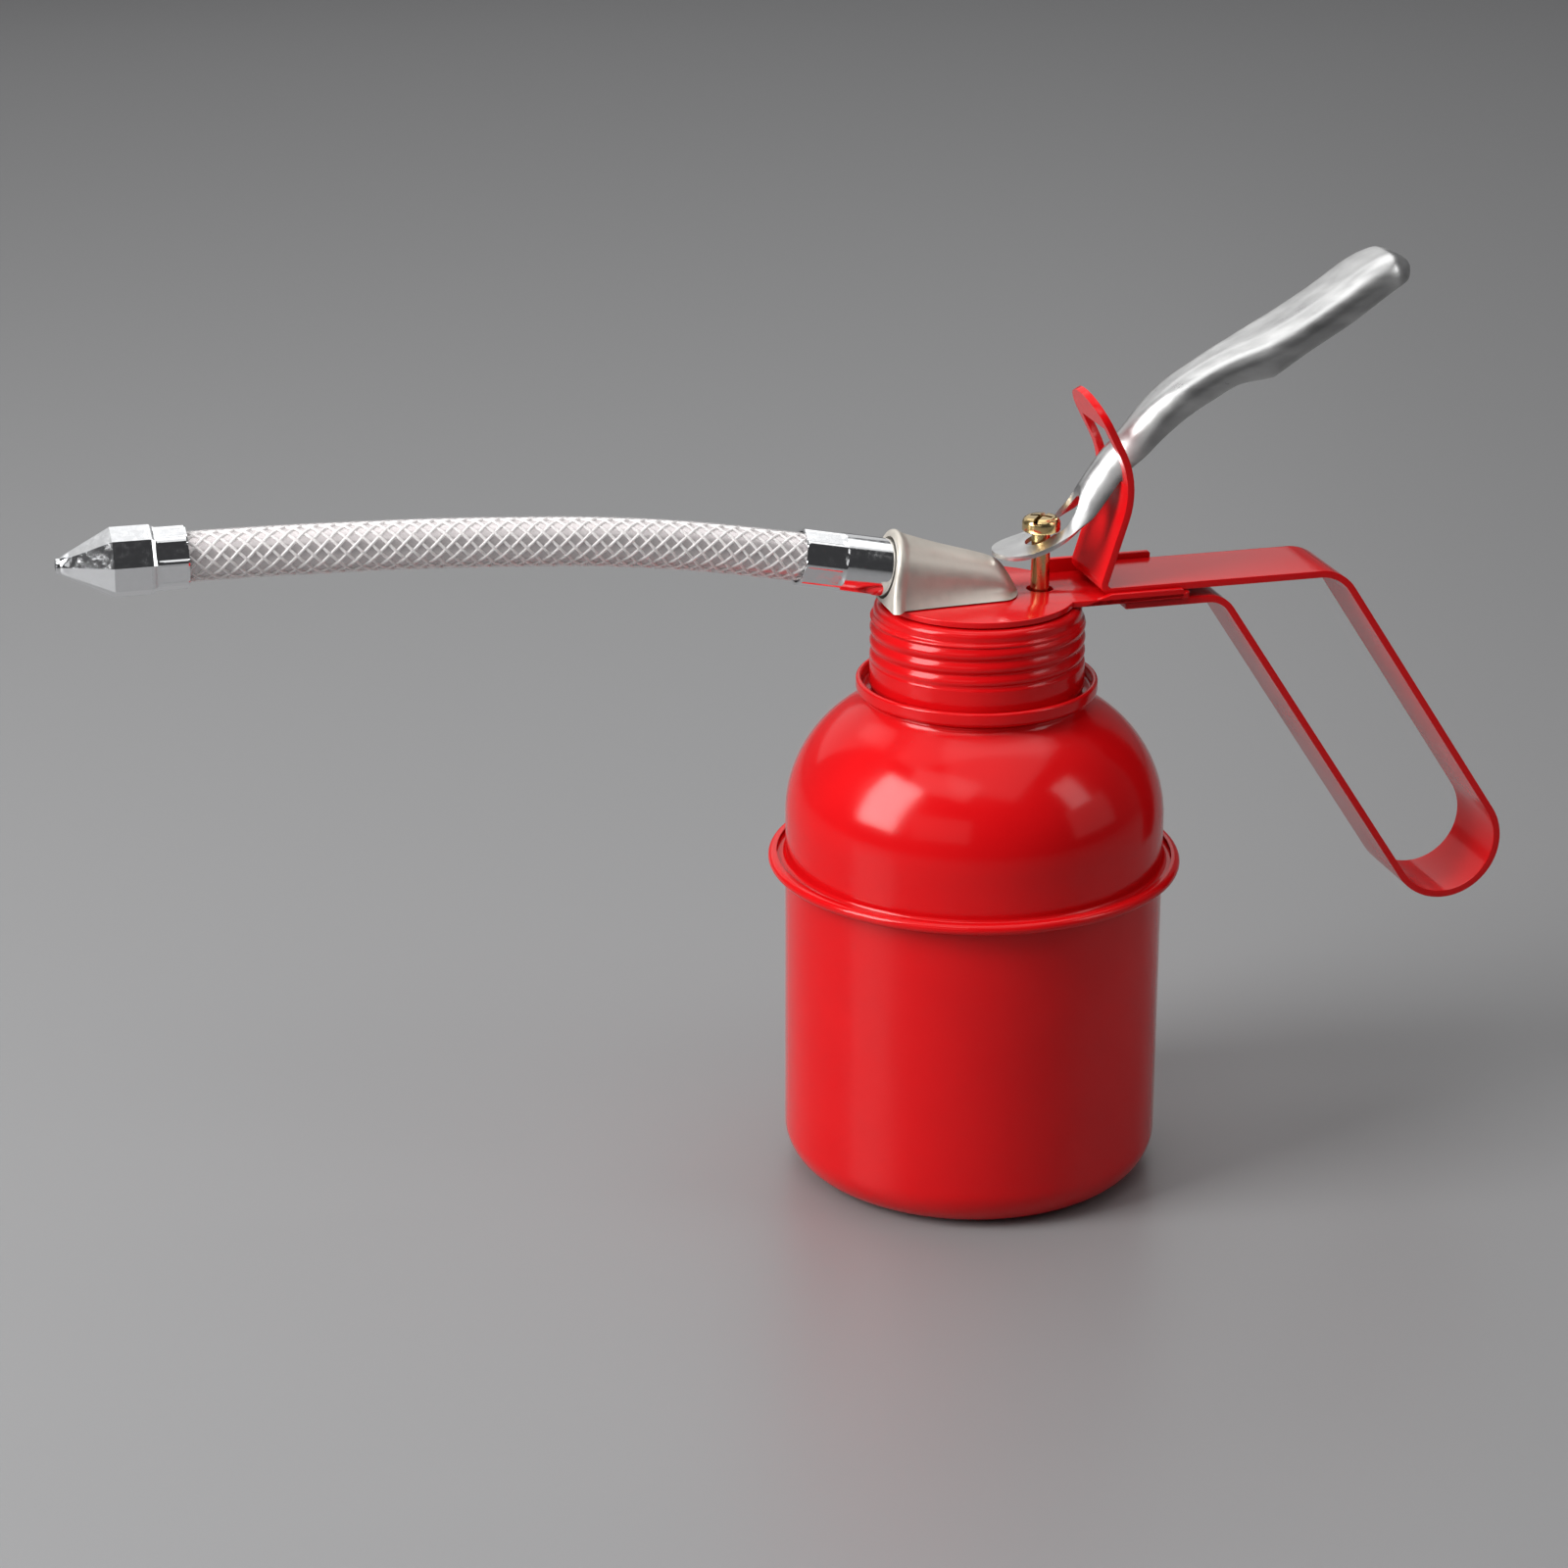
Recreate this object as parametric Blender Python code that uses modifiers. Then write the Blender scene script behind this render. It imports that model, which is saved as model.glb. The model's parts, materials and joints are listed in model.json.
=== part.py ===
"""Pump oil can: a pressed steel can, a screw cap that carries a lift pump, a strap handle,
a lever and a flexible spout.

Sizes are in millimetres and the helpers turn them into metres. +Z is up, the origin is the centre of
the can's base, +X points to the handle and -X to the spout.
"""
import math

import bmesh
import bpy
from mathutils import Matrix, Vector

MM = 0.001

# Clearance that pieces keep where they touch
GAP = 0.3

# Reservoir, drawn from sheet
CAN_R = 40.0
SHEET = 0.6
CUP_HEIGHT = 68.7
CUP_CORNER = 8.8
BELT_REACH = 3.7
HEM_LENGTH = 1.8
WALL_FILLET = 1.0
DOME_WALL = 9.66
DOME_RISE = 27.77
DOME_SPREAD = 29.42
DOME_END = math.radians(56.0)
COLLAR_STEP = 2.55
COLLAR_HEIGHT = 3.72
COLLAR_ROUND = 0.6

# Neck, drip ring and thread
NECK_R = 21.05
NECK_HEIGHT = 15.9
NECK_LIP = 1.3
THREAD_DEPTH = 0.45
THREAD_PITCH = 2.87
THREAD_START = math.radians(229.8)
THREAD_FADE = 1.0
THREAD_PLAY = 0.4
NECK_PLAIN = 6.0
RING_REACH = 4.25
RING_THICKNESS = 1.2
RING_HEIGHT = 3.2
RING_ROUND = 1.1
NECK_SPIGOT = 1.9
LIP_ROUND = 0.4
THREAD_END = 0.8

# Cap, seal, liner and top plate
SEAL_T = 1.0
LINER_T = 1.1
CAP_SKIRT = 17.8
CAP_BAND_IN = 0.8
CAP_BAND_HEIGHT = 2.5
CAP_ROUND = 1.5
CAP_PLAIN = 1.3
PLATE_T = 1.3
PLATE_INSET = 2.2
TONGUE_REACH = 43.0
TONGUE_CORNER = 1.5
FLANGE_INSET = 1.9
FLANGE_FULL = 25.0
NEAR_FLANGE = 0.9
FAR_FLANGE = 3.0

# Handle strap, as corners of its middle line. The post's corners are X and Z from its foot
STRAP_W = 19.0
STRAP_T = 1.45
POST_TOP = (-2.3, 40.97)
POST_BEND = (6.9, 23.27)
POST_BEND_R = 14.0
POST_DISTANCE = 10.4
POST_FOOT_R = 1.5
HANDLE_TOP_X = 77.25
HANDLE_TOP_R = 8.8
LEG_SLOPE = math.radians(56.5)
LEG_SPACING = 23.9
HANDLE_DROP = 63.6
TAB_BEND_R = 6.0
TAB_LAP = 5.3
SLOT_HALF_W = 6.2
SLOT_BOTTOM = 22.37
SLOT_HEIGHT = 12.1
SLOT_ROUND = 0.4

# Pump head casting and spout
SPOUT_TILT = math.radians(11.4)
SPOUT_INSET = 0.2
SPOUT_RISE = 6.9
HEAD_ARCH_R = 8.0
HEAD_BASE_HALF_W = 10.7
HEAD_RIM_STEP = 0.3
HEAD_RIM_FLARE = 1.7
NOSE_CLEARANCE = 3.35
HEAD_SLOPE = 0.302
HEAD_BASE_TAPER = 2.1
HEAD_ARCH_TAPER = 3.4
HEAD_NOSE_TOP = 7.2
HEAD_NOSE_HALF_W = 7.25
HEAD_NOSE_ARCH = 0.69
SPIGOT_SPACING = 19.5
SPIGOT_R = 4.2
OIL_BORE_R = 1.6
RECESS_DEPTH = 3.0
HOSE_R = 5.1
HOSE_WALL = 2.35
FERRULE_R = 6.0
FERRULE_PLAY = 0.4
FERRULE_LIP = 0.25
FERRULE_LENGTH = 19.2
FERRULE_END_WALL = 0.8
CRIMP_LENGTH = 8.6
CRIMP_ACROSS = 11.5
NIPPLE_R = 2.2
NIPPLE_BORE_R = 1.3
NIPPLE_ROOT = 9.0
NIPPLE_REACH = 16.0
BARB = 0.25
BARB_PITCH = 3.2
BARBS = 4
WASHER_T = 1.0
WASHER_R = 5.0

# Nozzle, along its own axis
NOZZLE_X = -162.8
NOZZLE_RISE = 13.6
NOZZLE_MOUTH_R = 6.3
NOZZLE_CORNER_R = 7.0
NOZZLE_BODY = 14.6
NOZZLE_CONE = 10.8
NOZZLE_TIP_R = 1.8
NOZZLE_BORE_R = 0.8
NOZZLE_SOCKET = 12.8
NOZZLE_TWIST = math.radians(5.0)
TAIL_SEAT = 3.7
TAIL_START = 1.0

# Hose route between its two ferrules: X, and Z above the spout's start
HOSE_ROUTE = ((-70.2, 9.05), (-100.5, 11.7), (-132.0, 13.1))

# Pump, hung below the cap
BARREL_CLEARANCE = 0.75
ROD_R = 1.95
ROD_PLAY = 0.8
SCREW_HEAD_R = 4.0
SCREW_HEAD_T = 3.1
SCREW_REST = 11.65
SCREW_ROUND = 1.5
SCREW_SLOT_W = 1.0
SCREW_SLOT_DEPTH = 1.1
SCREW_SLOT_TURN = math.radians(51.0)
SCREW_CROSS_REACH = 2.3
BLOCK_HEIGHT = 9.0
BLOCK_HEAD_R = 6.8
BUSH_R = 3.6
BUSH_LENGTH = 5.0
ROD_BORE_R = 2.9
PASSAGE_DEPTH = 5.5
PASSAGE_R = 1.5
PASSAGE_OFFSET = 0.2
BOSS_LENGTH = 4.0
BARREL_R = 5.5
BARREL_BORE_R = 4.3
NUT_T = 3.5
NUT_CORNER_R = 6.5
NUT_STAND = 0.4
SPRING_LENGTH = 17.0
SPRING_TURNS = 8
SPRING_WIRE_R = 0.4
SPRING_R = 3.1
PISTON_STEM_R = 3.6
PISTON_LENGTH = 13.4
PISTON_SKIRT = 6.4
ROD_SOCKET = 3.5
PORT_R = 0.9
CUP_T = 1.5
CUP_BORE_R = 2.9
PISTON_NUT_T = 1.5
PISTON_SPIGOT = 4.4
SEAT_BORE_R = 1.1
DELIVERY_BALL_R = 1.8
FOOT_CLEARANCE = 1.0
FOOT_SPIGOT = 5.0
FOOT_BODY = 4.5
FOOT_CHAMBER_R = 3.0
FOOT_CAGE_R = 1.7
FOOT_CAGE_T = 1.0
FOOT_BORE_R = 1.3
INLET_BALL_R = 2.2
SUCTION_R = 2.2
SUCTION_BORE_R = 1.5
SUCTION_SOCKET = 2.1
SUCTION_STAND = 3.0

# Lever. Its points are X and Z from the pivot, where it rests on the slot's lower edge
PIVOT_DISTANCE = 6.0
LEVER_T = 1.2
LEVER_NECK_HALF_W = 5.8
LEVER_PADDLE_HALF_W = 8.5
LEVER_ROUND = 2.8
TONGUE_HALF_W = 6.8
TONGUE_LINE = (
    (-26.6, -15.6), (-21.1, -14.75), (-16.4, -13.6), (-12.4, -12.15), (-9.9, -10.9), (-5.6, -6.2),
)
TONGUE_SLOT_HALF_W = 2.5
TONGUE_SLOT_ENDS = (-17.0, -12.0)
# Each station: crest X and Z, foot X and Z, and how far the width has grown from neck to paddle
LEVER_STATIONS = (
    ((-9.9, -1.2), (-12.0, -12.6), 0.0),
    ((-7.7, 1.0), (-7.6, -9.0), 0.0),
    ((-5.4, 3.5), (-3.9, -2.9), 0.0),
    ((-2.9, 6.1), (-0.9, 0.35), 0.0),
    ((0.5, 9.6), (3.5, 4.9), 0.0),
    ((5.3, 14.5), (7.8, 9.4), 0.0),
    ((10.7, 18.8), (13.1, 13.4), 0.0),
    ((16.1, 22.1), (18.5, 16.4), 0.0),
    ((21.5, 25.0), (23.6, 18.7), 0.25),
    ((28.9, 28.2), (30.4, 20.2), 0.85),
    ((35.9, 31.9), (38.1, 25.3), 1.0),
    ((44.2, 36.9), (46.6, 30.3), 1.0),
    ((51.1, 41.5), (53.4, 35.0), 1.0),
    ((57.0, 43.7), (57.4, 37.0), 0.6),
    ((59.9, 42.7), (59.6, 37.6), 0.0),
    ((61.6, 41.2), (60.9, 37.6), -0.7),
)

# Places that follow from the sizes above
COLLAR_R = NECK_R + COLLAR_STEP
RING_R = NECK_R + RING_REACH
CAP_R = NECK_R + THREAD_DEPTH + THREAD_PLAY + SHEET
PLATE_R = CAP_R - PLATE_INSET
FLANGE_START = PLATE_R - FLANGE_INSET
ROD_X = NECK_R - NECK_LIP - BARREL_CLEARANCE - BARREL_R
SPIGOT_X = ROD_X - SPIGOT_SPACING
SPOUT_X = SPOUT_INSET - PLATE_R
HEAD_NOSE_X = ROD_X - ROD_R - NOSE_CLEARANCE
POST_FOOT_X = ROD_X + POST_DISTANCE
PIVOT_X = POST_FOOT_X + PIVOT_DISTANCE
TAB_END_X = POST_FOOT_X + TAB_LAP

# Levels that follow
DOME_FLANGE_TOP = CUP_HEIGHT + 2 * SHEET + GAP
DOME_SPRING_Z = DOME_FLANGE_TOP + DOME_WALL
COLLAR_TOP = DOME_SPRING_Z + DOME_RISE * math.sin(DOME_END) + COLLAR_HEIGHT
NECK_Z = COLLAR_TOP + GAP
NECK_TOP = NECK_Z + NECK_HEIGHT
SEAL_Z = NECK_TOP + GAP
LINER_Z = SEAL_Z + SEAL_T + GAP
CAP_UNDER = LINER_Z + LINER_T + GAP
CAP_TOP = CAP_UNDER + SHEET
PLATE_Z = CAP_TOP + GAP
PLATE_TOP = PLATE_Z + PLATE_T
HEAD_Z = PLATE_TOP + GAP
STRAP_Z = PLATE_TOP + GAP + STRAP_T / 2
TAB_Z = PLATE_Z - GAP - STRAP_T / 2
SPOUT_Z = HEAD_Z + SPOUT_RISE
NOZZLE_Z = SPOUT_Z + NOZZLE_RISE
PIVOT_Z = STRAP_Z + SLOT_BOTTOM + GAP
BLOCK_TOP = LINER_Z - GAP
BLOCK_Z = BLOCK_TOP - BLOCK_HEIGHT
BOSS_Z = BLOCK_Z - BOSS_LENGTH
PASSAGE_Z = BLOCK_TOP - PASSAGE_DEPTH
BUSH_TOP = PLATE_Z - GAP
BUSH_Z = BUSH_TOP - BUSH_LENGTH
BARREL_TOP = BLOCK_Z - GAP
PISTON_TOP = BOSS_Z - SPRING_LENGTH
PISTON_Z = PISTON_TOP - PISTON_LENGTH
CUP_Z = PISTON_Z - GAP - CUP_T
PISTON_NUT_Z = CUP_Z - GAP - PISTON_NUT_T
FOOT_TOP = PISTON_NUT_Z - FOOT_CLEARANCE
FOOT_SHOULDER = FOOT_TOP - FOOT_SPIGOT
FOOT_Z = FOOT_SHOULDER - FOOT_BODY
BARREL_Z = FOOT_SHOULDER + GAP
SCREW_HEAD_Z = HEAD_Z + SCREW_REST
PISTON_R = BARREL_BORE_R - GAP

TURN_STEPS = 30
SMALL_TURN_STEPS = 16

for old in list(bpy.data.objects):
    bpy.data.objects.remove(old, do_unlink=True)
PARTS = bpy.data.collections.new("pump_oil_can")
CUTTERS = bpy.data.collections.new("cutters")
bpy.context.scene.collection.children.link(PARTS)
bpy.context.scene.collection.children.link(CUTTERS)


def material(name, colour, metallic, roughness):
    made = bpy.data.materials.new(name)
    made.use_nodes = True
    shader = made.node_tree.nodes["Principled BSDF"]
    shader.inputs["Base Color"].default_value = (*colour, 1.0)
    shader.inputs["Metallic"].default_value = metallic
    shader.inputs["Roughness"].default_value = roughness
    return made


RED = material("red_enamel", (0.62, 0.02, 0.02), 0.0, 0.25)
STEEL = material("bright_steel", (0.62, 0.62, 0.60), 1.0, 0.3)
ZINC = material("cast_zinc", (0.55, 0.54, 0.51), 0.8, 0.45)
CHROME = material("chrome_plate", (0.85, 0.85, 0.86), 1.0, 0.08)
BRASS = material("brass", (0.72, 0.50, 0.20), 1.0, 0.25)
RUBBER = material("black_rubber", (0.03, 0.03, 0.03), 0.0, 0.7)
FIBRE = material("fibre_board", (0.28, 0.17, 0.09), 0.0, 0.8)
VINYL = material("clear_vinyl", (0.80, 0.76, 0.75), 0.0, 0.2)


def add(name, mesh, look, place=Matrix.Identity(4)):
    """Adds a mesh or curve as one piece, in the part's collection."""
    piece = bpy.data.objects.new(name, mesh)
    piece.matrix_world = place
    mesh.materials.append(look)
    PARTS.objects.link(piece)
    return piece


def mesh_from(points, edges, faces):
    mesh = bpy.data.meshes.new("shape")
    mesh.from_pydata([Vector(p) * MM for p in points], edges, faces)
    return mesh


def arc(x, z, radius, start, end, steps):
    """Points on an arc, with its angles in degrees from the first axis."""
    turns = [math.radians(start + (end - start) * i / steps) for i in range(steps + 1)]
    return [(x + radius * math.cos(a), z + radius * math.sin(a)) for a in turns]


def turned(name, profile, look, steps=SMALL_TURN_STEPS, place=Matrix.Identity(4), shell=0.0):
    """A turned piece. The profile runs down the outer side; it closes itself unless it is a shell."""
    on_axis = profile[0][0] == 0 and profile[-1][0] == 0
    edges = [(i, i + 1) for i in range(len(profile) - 1)]
    if not on_axis and not shell:
        edges.append((len(profile) - 1, 0))
    piece = add(name, mesh_from([(r, 0, z) for r, z in profile], edges, []), look, place)
    screw = piece.modifiers.new("Turn", "SCREW")
    screw.steps = steps
    screw.render_steps = steps
    screw.use_merge_vertices = True
    screw.merge_threshold = 0.00001
    screw.use_smooth_shade = True
    if shell:
        wall = piece.modifiers.new("Wall", "SOLIDIFY")
        wall.thickness = shell * MM
        wall.offset = -1.0
        wall.use_even_offset = True
    return piece


def meshed(piece):
    """Replaces a piece by its evaluated mesh, with the caps of a curve welded."""
    seen = piece.evaluated_get(bpy.context.evaluated_depsgraph_get())
    mesh = bpy.data.meshes.new_from_object(seen)
    shape = bmesh.new()
    shape.from_mesh(mesh)
    bmesh.ops.remove_doubles(shape, verts=shape.verts, dist=0.000005)
    shape.to_mesh(mesh)
    shape.free()
    place = piece.matrix_world.copy()
    name = piece.name
    bpy.data.objects.remove(piece, do_unlink=True)
    solid = bpy.data.objects.new(name, mesh)
    solid.matrix_world = place
    PARTS.objects.link(solid)
    return solid


def tool(piece):
    """Moves a piece to the cutters, where it only serves Booleans."""
    PARTS.objects.unlink(piece)
    CUTTERS.objects.link(piece)
    piece.hide_render = True
    piece.display_type = "WIRE"
    return piece


def boolean(piece, other, operation):
    step = piece.modifiers.new(operation.title(), "BOOLEAN")
    step.operation = operation
    step.solver = "EXACT"
    step.object = other
    return piece


def cylinder(radius, start, end, sides=SMALL_TURN_STEPS):
    """A cutter from one point to another."""
    start, end = Vector(start), Vector(end)
    shape = bmesh.new()
    bmesh.ops.create_cone(
        shape, cap_ends=True, segments=sides,
        radius1=radius * MM, radius2=radius * MM, depth=(end - start).length * MM)
    mesh = bpy.data.meshes.new("cylinder")
    shape.to_mesh(mesh)
    shape.free()
    turn = (end - start).to_track_quat("Z", "Y").to_matrix().to_4x4()
    return tool(add("cylinder", mesh, STEEL, Matrix.Translation((start + end) * 0.5 * MM) @ turn))


def ball(name, radius, x, z, look):
    shape = bmesh.new()
    bmesh.ops.create_uvsphere(shape, u_segments=12, v_segments=8, radius=radius * MM)
    mesh = bpy.data.meshes.new(name)
    shape.to_mesh(mesh)
    shape.free()
    mesh.shade_smooth()
    return add(name, mesh, look, Matrix.Translation((x * MM, 0, z * MM)))


def outline(name, points, thickness, look, place):
    """A flat plate from a closed outline, with its thickness centred on its own plane."""
    flat = bpy.data.curves.new(name, "CURVE")
    flat.dimensions = "2D"
    flat.fill_mode = "BOTH"
    flat.extrude = thickness * MM / 2
    line = flat.splines.new("POLY")
    line.points.add(len(points) - 1)
    for point, (u, v) in zip(line.points, points):
        point.co = (u * MM, v * MM, 0, 1)
    line.use_cyclic_u = True
    return meshed(add(name, flat, look, place))


def level(z):
    return Matrix.Translation((0, 0, z * MM))


def side_view(y):
    """The plane whose first axis is +X and whose second is +Z, at a given Y."""
    return Matrix.Translation((0, y * MM, 0)) @ Matrix.Rotation(math.pi / 2, 4, "X")


def grid(name, rows, look, thickness, offset):
    """An open sheet through rows of points, given its thickness by Solidify."""
    width = len(rows[0])
    points = [p for row in rows for p in row]
    faces = []
    for i in range(len(rows) - 1):
        for j in range(width - 1):
            a = i * width + j
            faces.append((a, a + width, a + width + 1, a + 1))
    piece = add(name, mesh_from(points, [], faces), look)
    wall = piece.modifiers.new("Wall", "SOLIDIFY")
    wall.thickness = thickness * MM
    wall.offset = offset
    wall.use_even_offset = True
    return piece


def loft(name, rings, look):
    """A closed body through rings of points, with flat ends."""
    count = len(rings[0])
    points = [p for ring in rings for p in ring]
    faces = [tuple(range(count)), tuple(reversed(range(len(points) - count, len(points))))]
    for i in range(len(rings) - 1):
        for j in range(count):
            a, b = i * count + j, i * count + (j + 1) % count
            faces.append((a, a + count, b + count, b))
    return add(name, mesh_from(points, [], faces), look)


def filleted(corners):
    """A path through corners (x, z, radius), with each corner rounded by an arc."""
    path = [Vector(corners[0][:2])]
    for before, here, after in zip(corners, corners[1:], corners[2:]):
        corner = Vector(here[:2])
        to_last = (Vector(before[:2]) - corner).normalized()
        to_next = (Vector(after[:2]) - corner).normalized()
        half = to_last.angle(to_next) / 2
        reach = here[2] / math.tan(half)
        centre = corner + (to_last + to_next).normalized() * here[2] / math.sin(half)
        first = corner + to_last * reach - centre
        last = corner + to_next * reach - centre
        sweep = first.angle_signed(last)
        steps = max(2, round(abs(sweep) / math.radians(22)))
        for i in range(steps + 1):
            turn = Matrix.Rotation(-sweep * i / steps, 2)
            path.append(centre + turn @ first)
    path.append(Vector(corners[-1][:2]))
    return path


def smooth(piece, angle=35.0):
    piece.data.shade_smooth()
    piece.data.set_sharp_from_angle(angle=math.radians(angle))
    return piece


def thread_wave(x, y, z):
    """1 on the thread's crest and 0 in its groove, on a right-hand helix."""
    around = (math.atan2(y, x) - THREAD_START) / (2 * math.pi)
    return (1 + math.cos(2 * math.pi * ((z - NECK_Z) / THREAD_PITCH - around))) / 2


def roll_thread(piece, low, high, least_r, shift):
    """Moves a turned wall in or out along the helix, fading at both ends of the thread."""
    piece = meshed(piece)
    for vertex in piece.data.vertices:
        x, y, z = vertex.co / MM
        radius = math.hypot(x, y)
        fade = min(1.0, (z - low) / THREAD_FADE, (high - z) / THREAD_FADE)
        if fade > 0 and radius > least_r:
            grown = radius + shift(thread_wave(x, y, z)) * fade
            vertex.co.x *= grown / radius
            vertex.co.y *= grown / radius
    return piece


def thread_rows(low, high):
    count = max(4, round((high - low) / (THREAD_PITCH / 4)))
    return [low + (high - low) * i / count for i in range(count + 1)]


def press_flats(piece, corner_r, sides, low, high, least_r):
    """Presses flats into a turned piece, between two places along its axis."""
    piece = meshed(piece)
    pitch = 2 * math.pi / sides
    for vertex in piece.data.vertices:
        x, y, z = vertex.co / MM
        radius = math.hypot(x, y)
        if low <= z <= high and radius > least_r:
            off = (math.atan2(y, x) % pitch) - pitch / 2
            pressed = corner_r(z, radius) * math.cos(pitch / 2) / math.cos(off)
            vertex.co.x *= pressed / radius
            vertex.co.y *= pressed / radius
    return piece


def make_cup():
    belt_r = CAN_R + BELT_REACH
    hem_r = SHEET * 1.5 + GAP
    hem_z = CUP_HEIGHT + hem_r
    profile = [(belt_r - HEM_LENGTH, hem_z + hem_r)]
    profile += arc(belt_r - hem_r, hem_z, hem_r, 90, -90, 6)
    profile += arc(CAN_R + WALL_FILLET, CUP_HEIGHT - WALL_FILLET, WALL_FILLET, 90, 180, 3)
    profile += arc(CAN_R - CUP_CORNER, CUP_CORNER, CUP_CORNER, 0, -90, 5)
    profile.append((0, 0))
    turned("reservoir_cup", profile, RED, TURN_STEPS, shell=SHEET)


def make_dome():
    crown_r = CAN_R - DOME_SPREAD
    edge = (crown_r + DOME_SPREAD * math.cos(DOME_END), DOME_SPRING_Z + DOME_RISE * math.sin(DOME_END))
    slope = (DOME_RISE * math.cos(DOME_END)) / (DOME_SPREAD * math.sin(DOME_END))
    root = (COLLAR_R, edge[1] + (edge[0] - COLLAR_R) * slope)
    hole_r = NECK_R - THREAD_DEPTH + GAP
    profile = [(hole_r, COLLAR_TOP)]
    profile += arc(COLLAR_R - COLLAR_ROUND, COLLAR_TOP - COLLAR_ROUND, COLLAR_ROUND, 90, 0, 2)
    for i in range(1, 4):
        u = i / 4
        top = (COLLAR_R, COLLAR_TOP - COLLAR_ROUND)
        bend = [(1 - u) ** 2 * a + 2 * u * (1 - u) * b + u * u * c for a, b, c in zip(top, root, edge)]
        profile.append(tuple(bend))
    for i in range(8):
        angle = DOME_END * (1 - i / 7)
        profile.append((crown_r + DOME_SPREAD * math.cos(angle), DOME_SPRING_Z + DOME_RISE * math.sin(angle)))
    profile += arc(CAN_R + WALL_FILLET, DOME_FLANGE_TOP + WALL_FILLET, WALL_FILLET, 180, 270, 2)
    profile.append((CAN_R + BELT_REACH - SHEET - GAP - BELT_REACH * 0.05, DOME_FLANGE_TOP))
    turned("reservoir_dome", profile, RED, TURN_STEPS, shell=SHEET)


def make_neck():
    floor = NECK_Z + SHEET
    low, high = floor + NECK_PLAIN, NECK_TOP - THREAD_END
    rows = thread_rows(low, high)
    bore_r = NECK_R - SHEET
    ring_top = NECK_Z + RING_HEIGHT
    bead = RING_THICKNESS / 2
    spigot_r = NECK_R - THREAD_DEPTH
    profile = [(NECK_R - NECK_LIP, NECK_TOP), (NECK_R - LIP_ROUND, NECK_TOP)]
    profile += [(NECK_R, z) for z in reversed(rows)]
    profile.append((NECK_R, floor))
    profile.append((RING_R - RING_THICKNESS - 0.5, floor))
    profile.append((RING_R - RING_THICKNESS, floor + 0.5))
    profile += arc(RING_R - bead, ring_top - bead, bead, 180, 0, 4)
    profile += arc(RING_R - RING_ROUND, NECK_Z + RING_ROUND, RING_ROUND, 0, -90, 3)
    spigot_end = NECK_Z - NECK_SPIGOT
    profile += [(spigot_r, NECK_Z), (spigot_r, spigot_end), (spigot_r - SHEET, spigot_end)]
    profile += [(spigot_r - SHEET, floor - 0.2), (bore_r, floor + 0.4)]
    profile += [(bore_r, z) for z in rows[:-1]]
    profile += [(bore_r, NECK_TOP - SHEET - 0.3), (NECK_R - NECK_LIP, NECK_TOP - SHEET)]
    neck = turned("threaded_neck", profile, RED, TURN_STEPS)
    neck = roll_thread(neck, low, high, bore_r - 0.1, lambda wave: THREAD_DEPTH * wave)
    smooth(neck, 50)


def cap_hole(piece, x, radius):
    """A hole down through the cap's top, whatever piece of it is given."""
    return boolean(piece, cylinder(radius, (x, 0, LINER_Z - 2), (x, 0, PLATE_TOP + 2)), "DIFFERENCE")


def make_cap():
    band_r = CAP_R - CAP_BAND_IN
    inside = CAP_R - SHEET
    bottom = CAP_TOP - CAP_SKIRT
    band_z = CAP_TOP - CAP_BAND_HEIGHT
    low, high = bottom + CAP_PLAIN, band_z - CAP_BAND_IN
    rows = thread_rows(low, high)
    profile = [(0, CAP_TOP)]
    profile += arc(band_r - CAP_ROUND, CAP_TOP - CAP_ROUND, CAP_ROUND, 90, 0, 3)
    profile.append((band_r, band_z))
    profile += [(CAP_R, z) for z in reversed(rows)]
    profile += [(CAP_R, bottom), (inside, bottom)]
    profile += [(inside, z) for z in rows]
    profile.append((band_r - SHEET, band_z))
    profile += arc(band_r - CAP_ROUND, CAP_TOP - CAP_ROUND, CAP_ROUND - SHEET, 0, 90, 3)
    profile.append((0, CAP_UNDER))
    cap = turned("screw_cap", profile, RED, TURN_STEPS)
    cap = roll_thread(cap, low, high, band_r, lambda wave: -THREAD_DEPTH * (1 - wave))
    cap_hole(cap, SPIGOT_X, SPIGOT_R + GAP)
    cap_hole(cap, ROD_X, BUSH_R + GAP)
    smooth(cap, 50)


def make_liner_and_seal():
    room = CAP_R - CAP_BAND_IN - SHEET - GAP
    top = LINER_Z + LINER_T
    bevel = CAP_ROUND - SHEET
    disc = [(0, top), (room - bevel, top), (room, top - bevel), (room, LINER_Z), (0, LINER_Z)]
    liner = turned("cap_liner", disc, FIBRE, TURN_STEPS)
    cap_hole(liner, SPIGOT_X, SPIGOT_R + GAP)
    cap_hole(liner, ROD_X, BUSH_R + GAP)
    bore = NECK_R - NECK_LIP
    seal_top = SEAL_Z + SEAL_T
    seal = [(room, seal_top), (room, SEAL_Z), (bore, SEAL_Z), (bore, seal_top)]
    turned("neck_seal", seal, RUBBER, TURN_STEPS)


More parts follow.
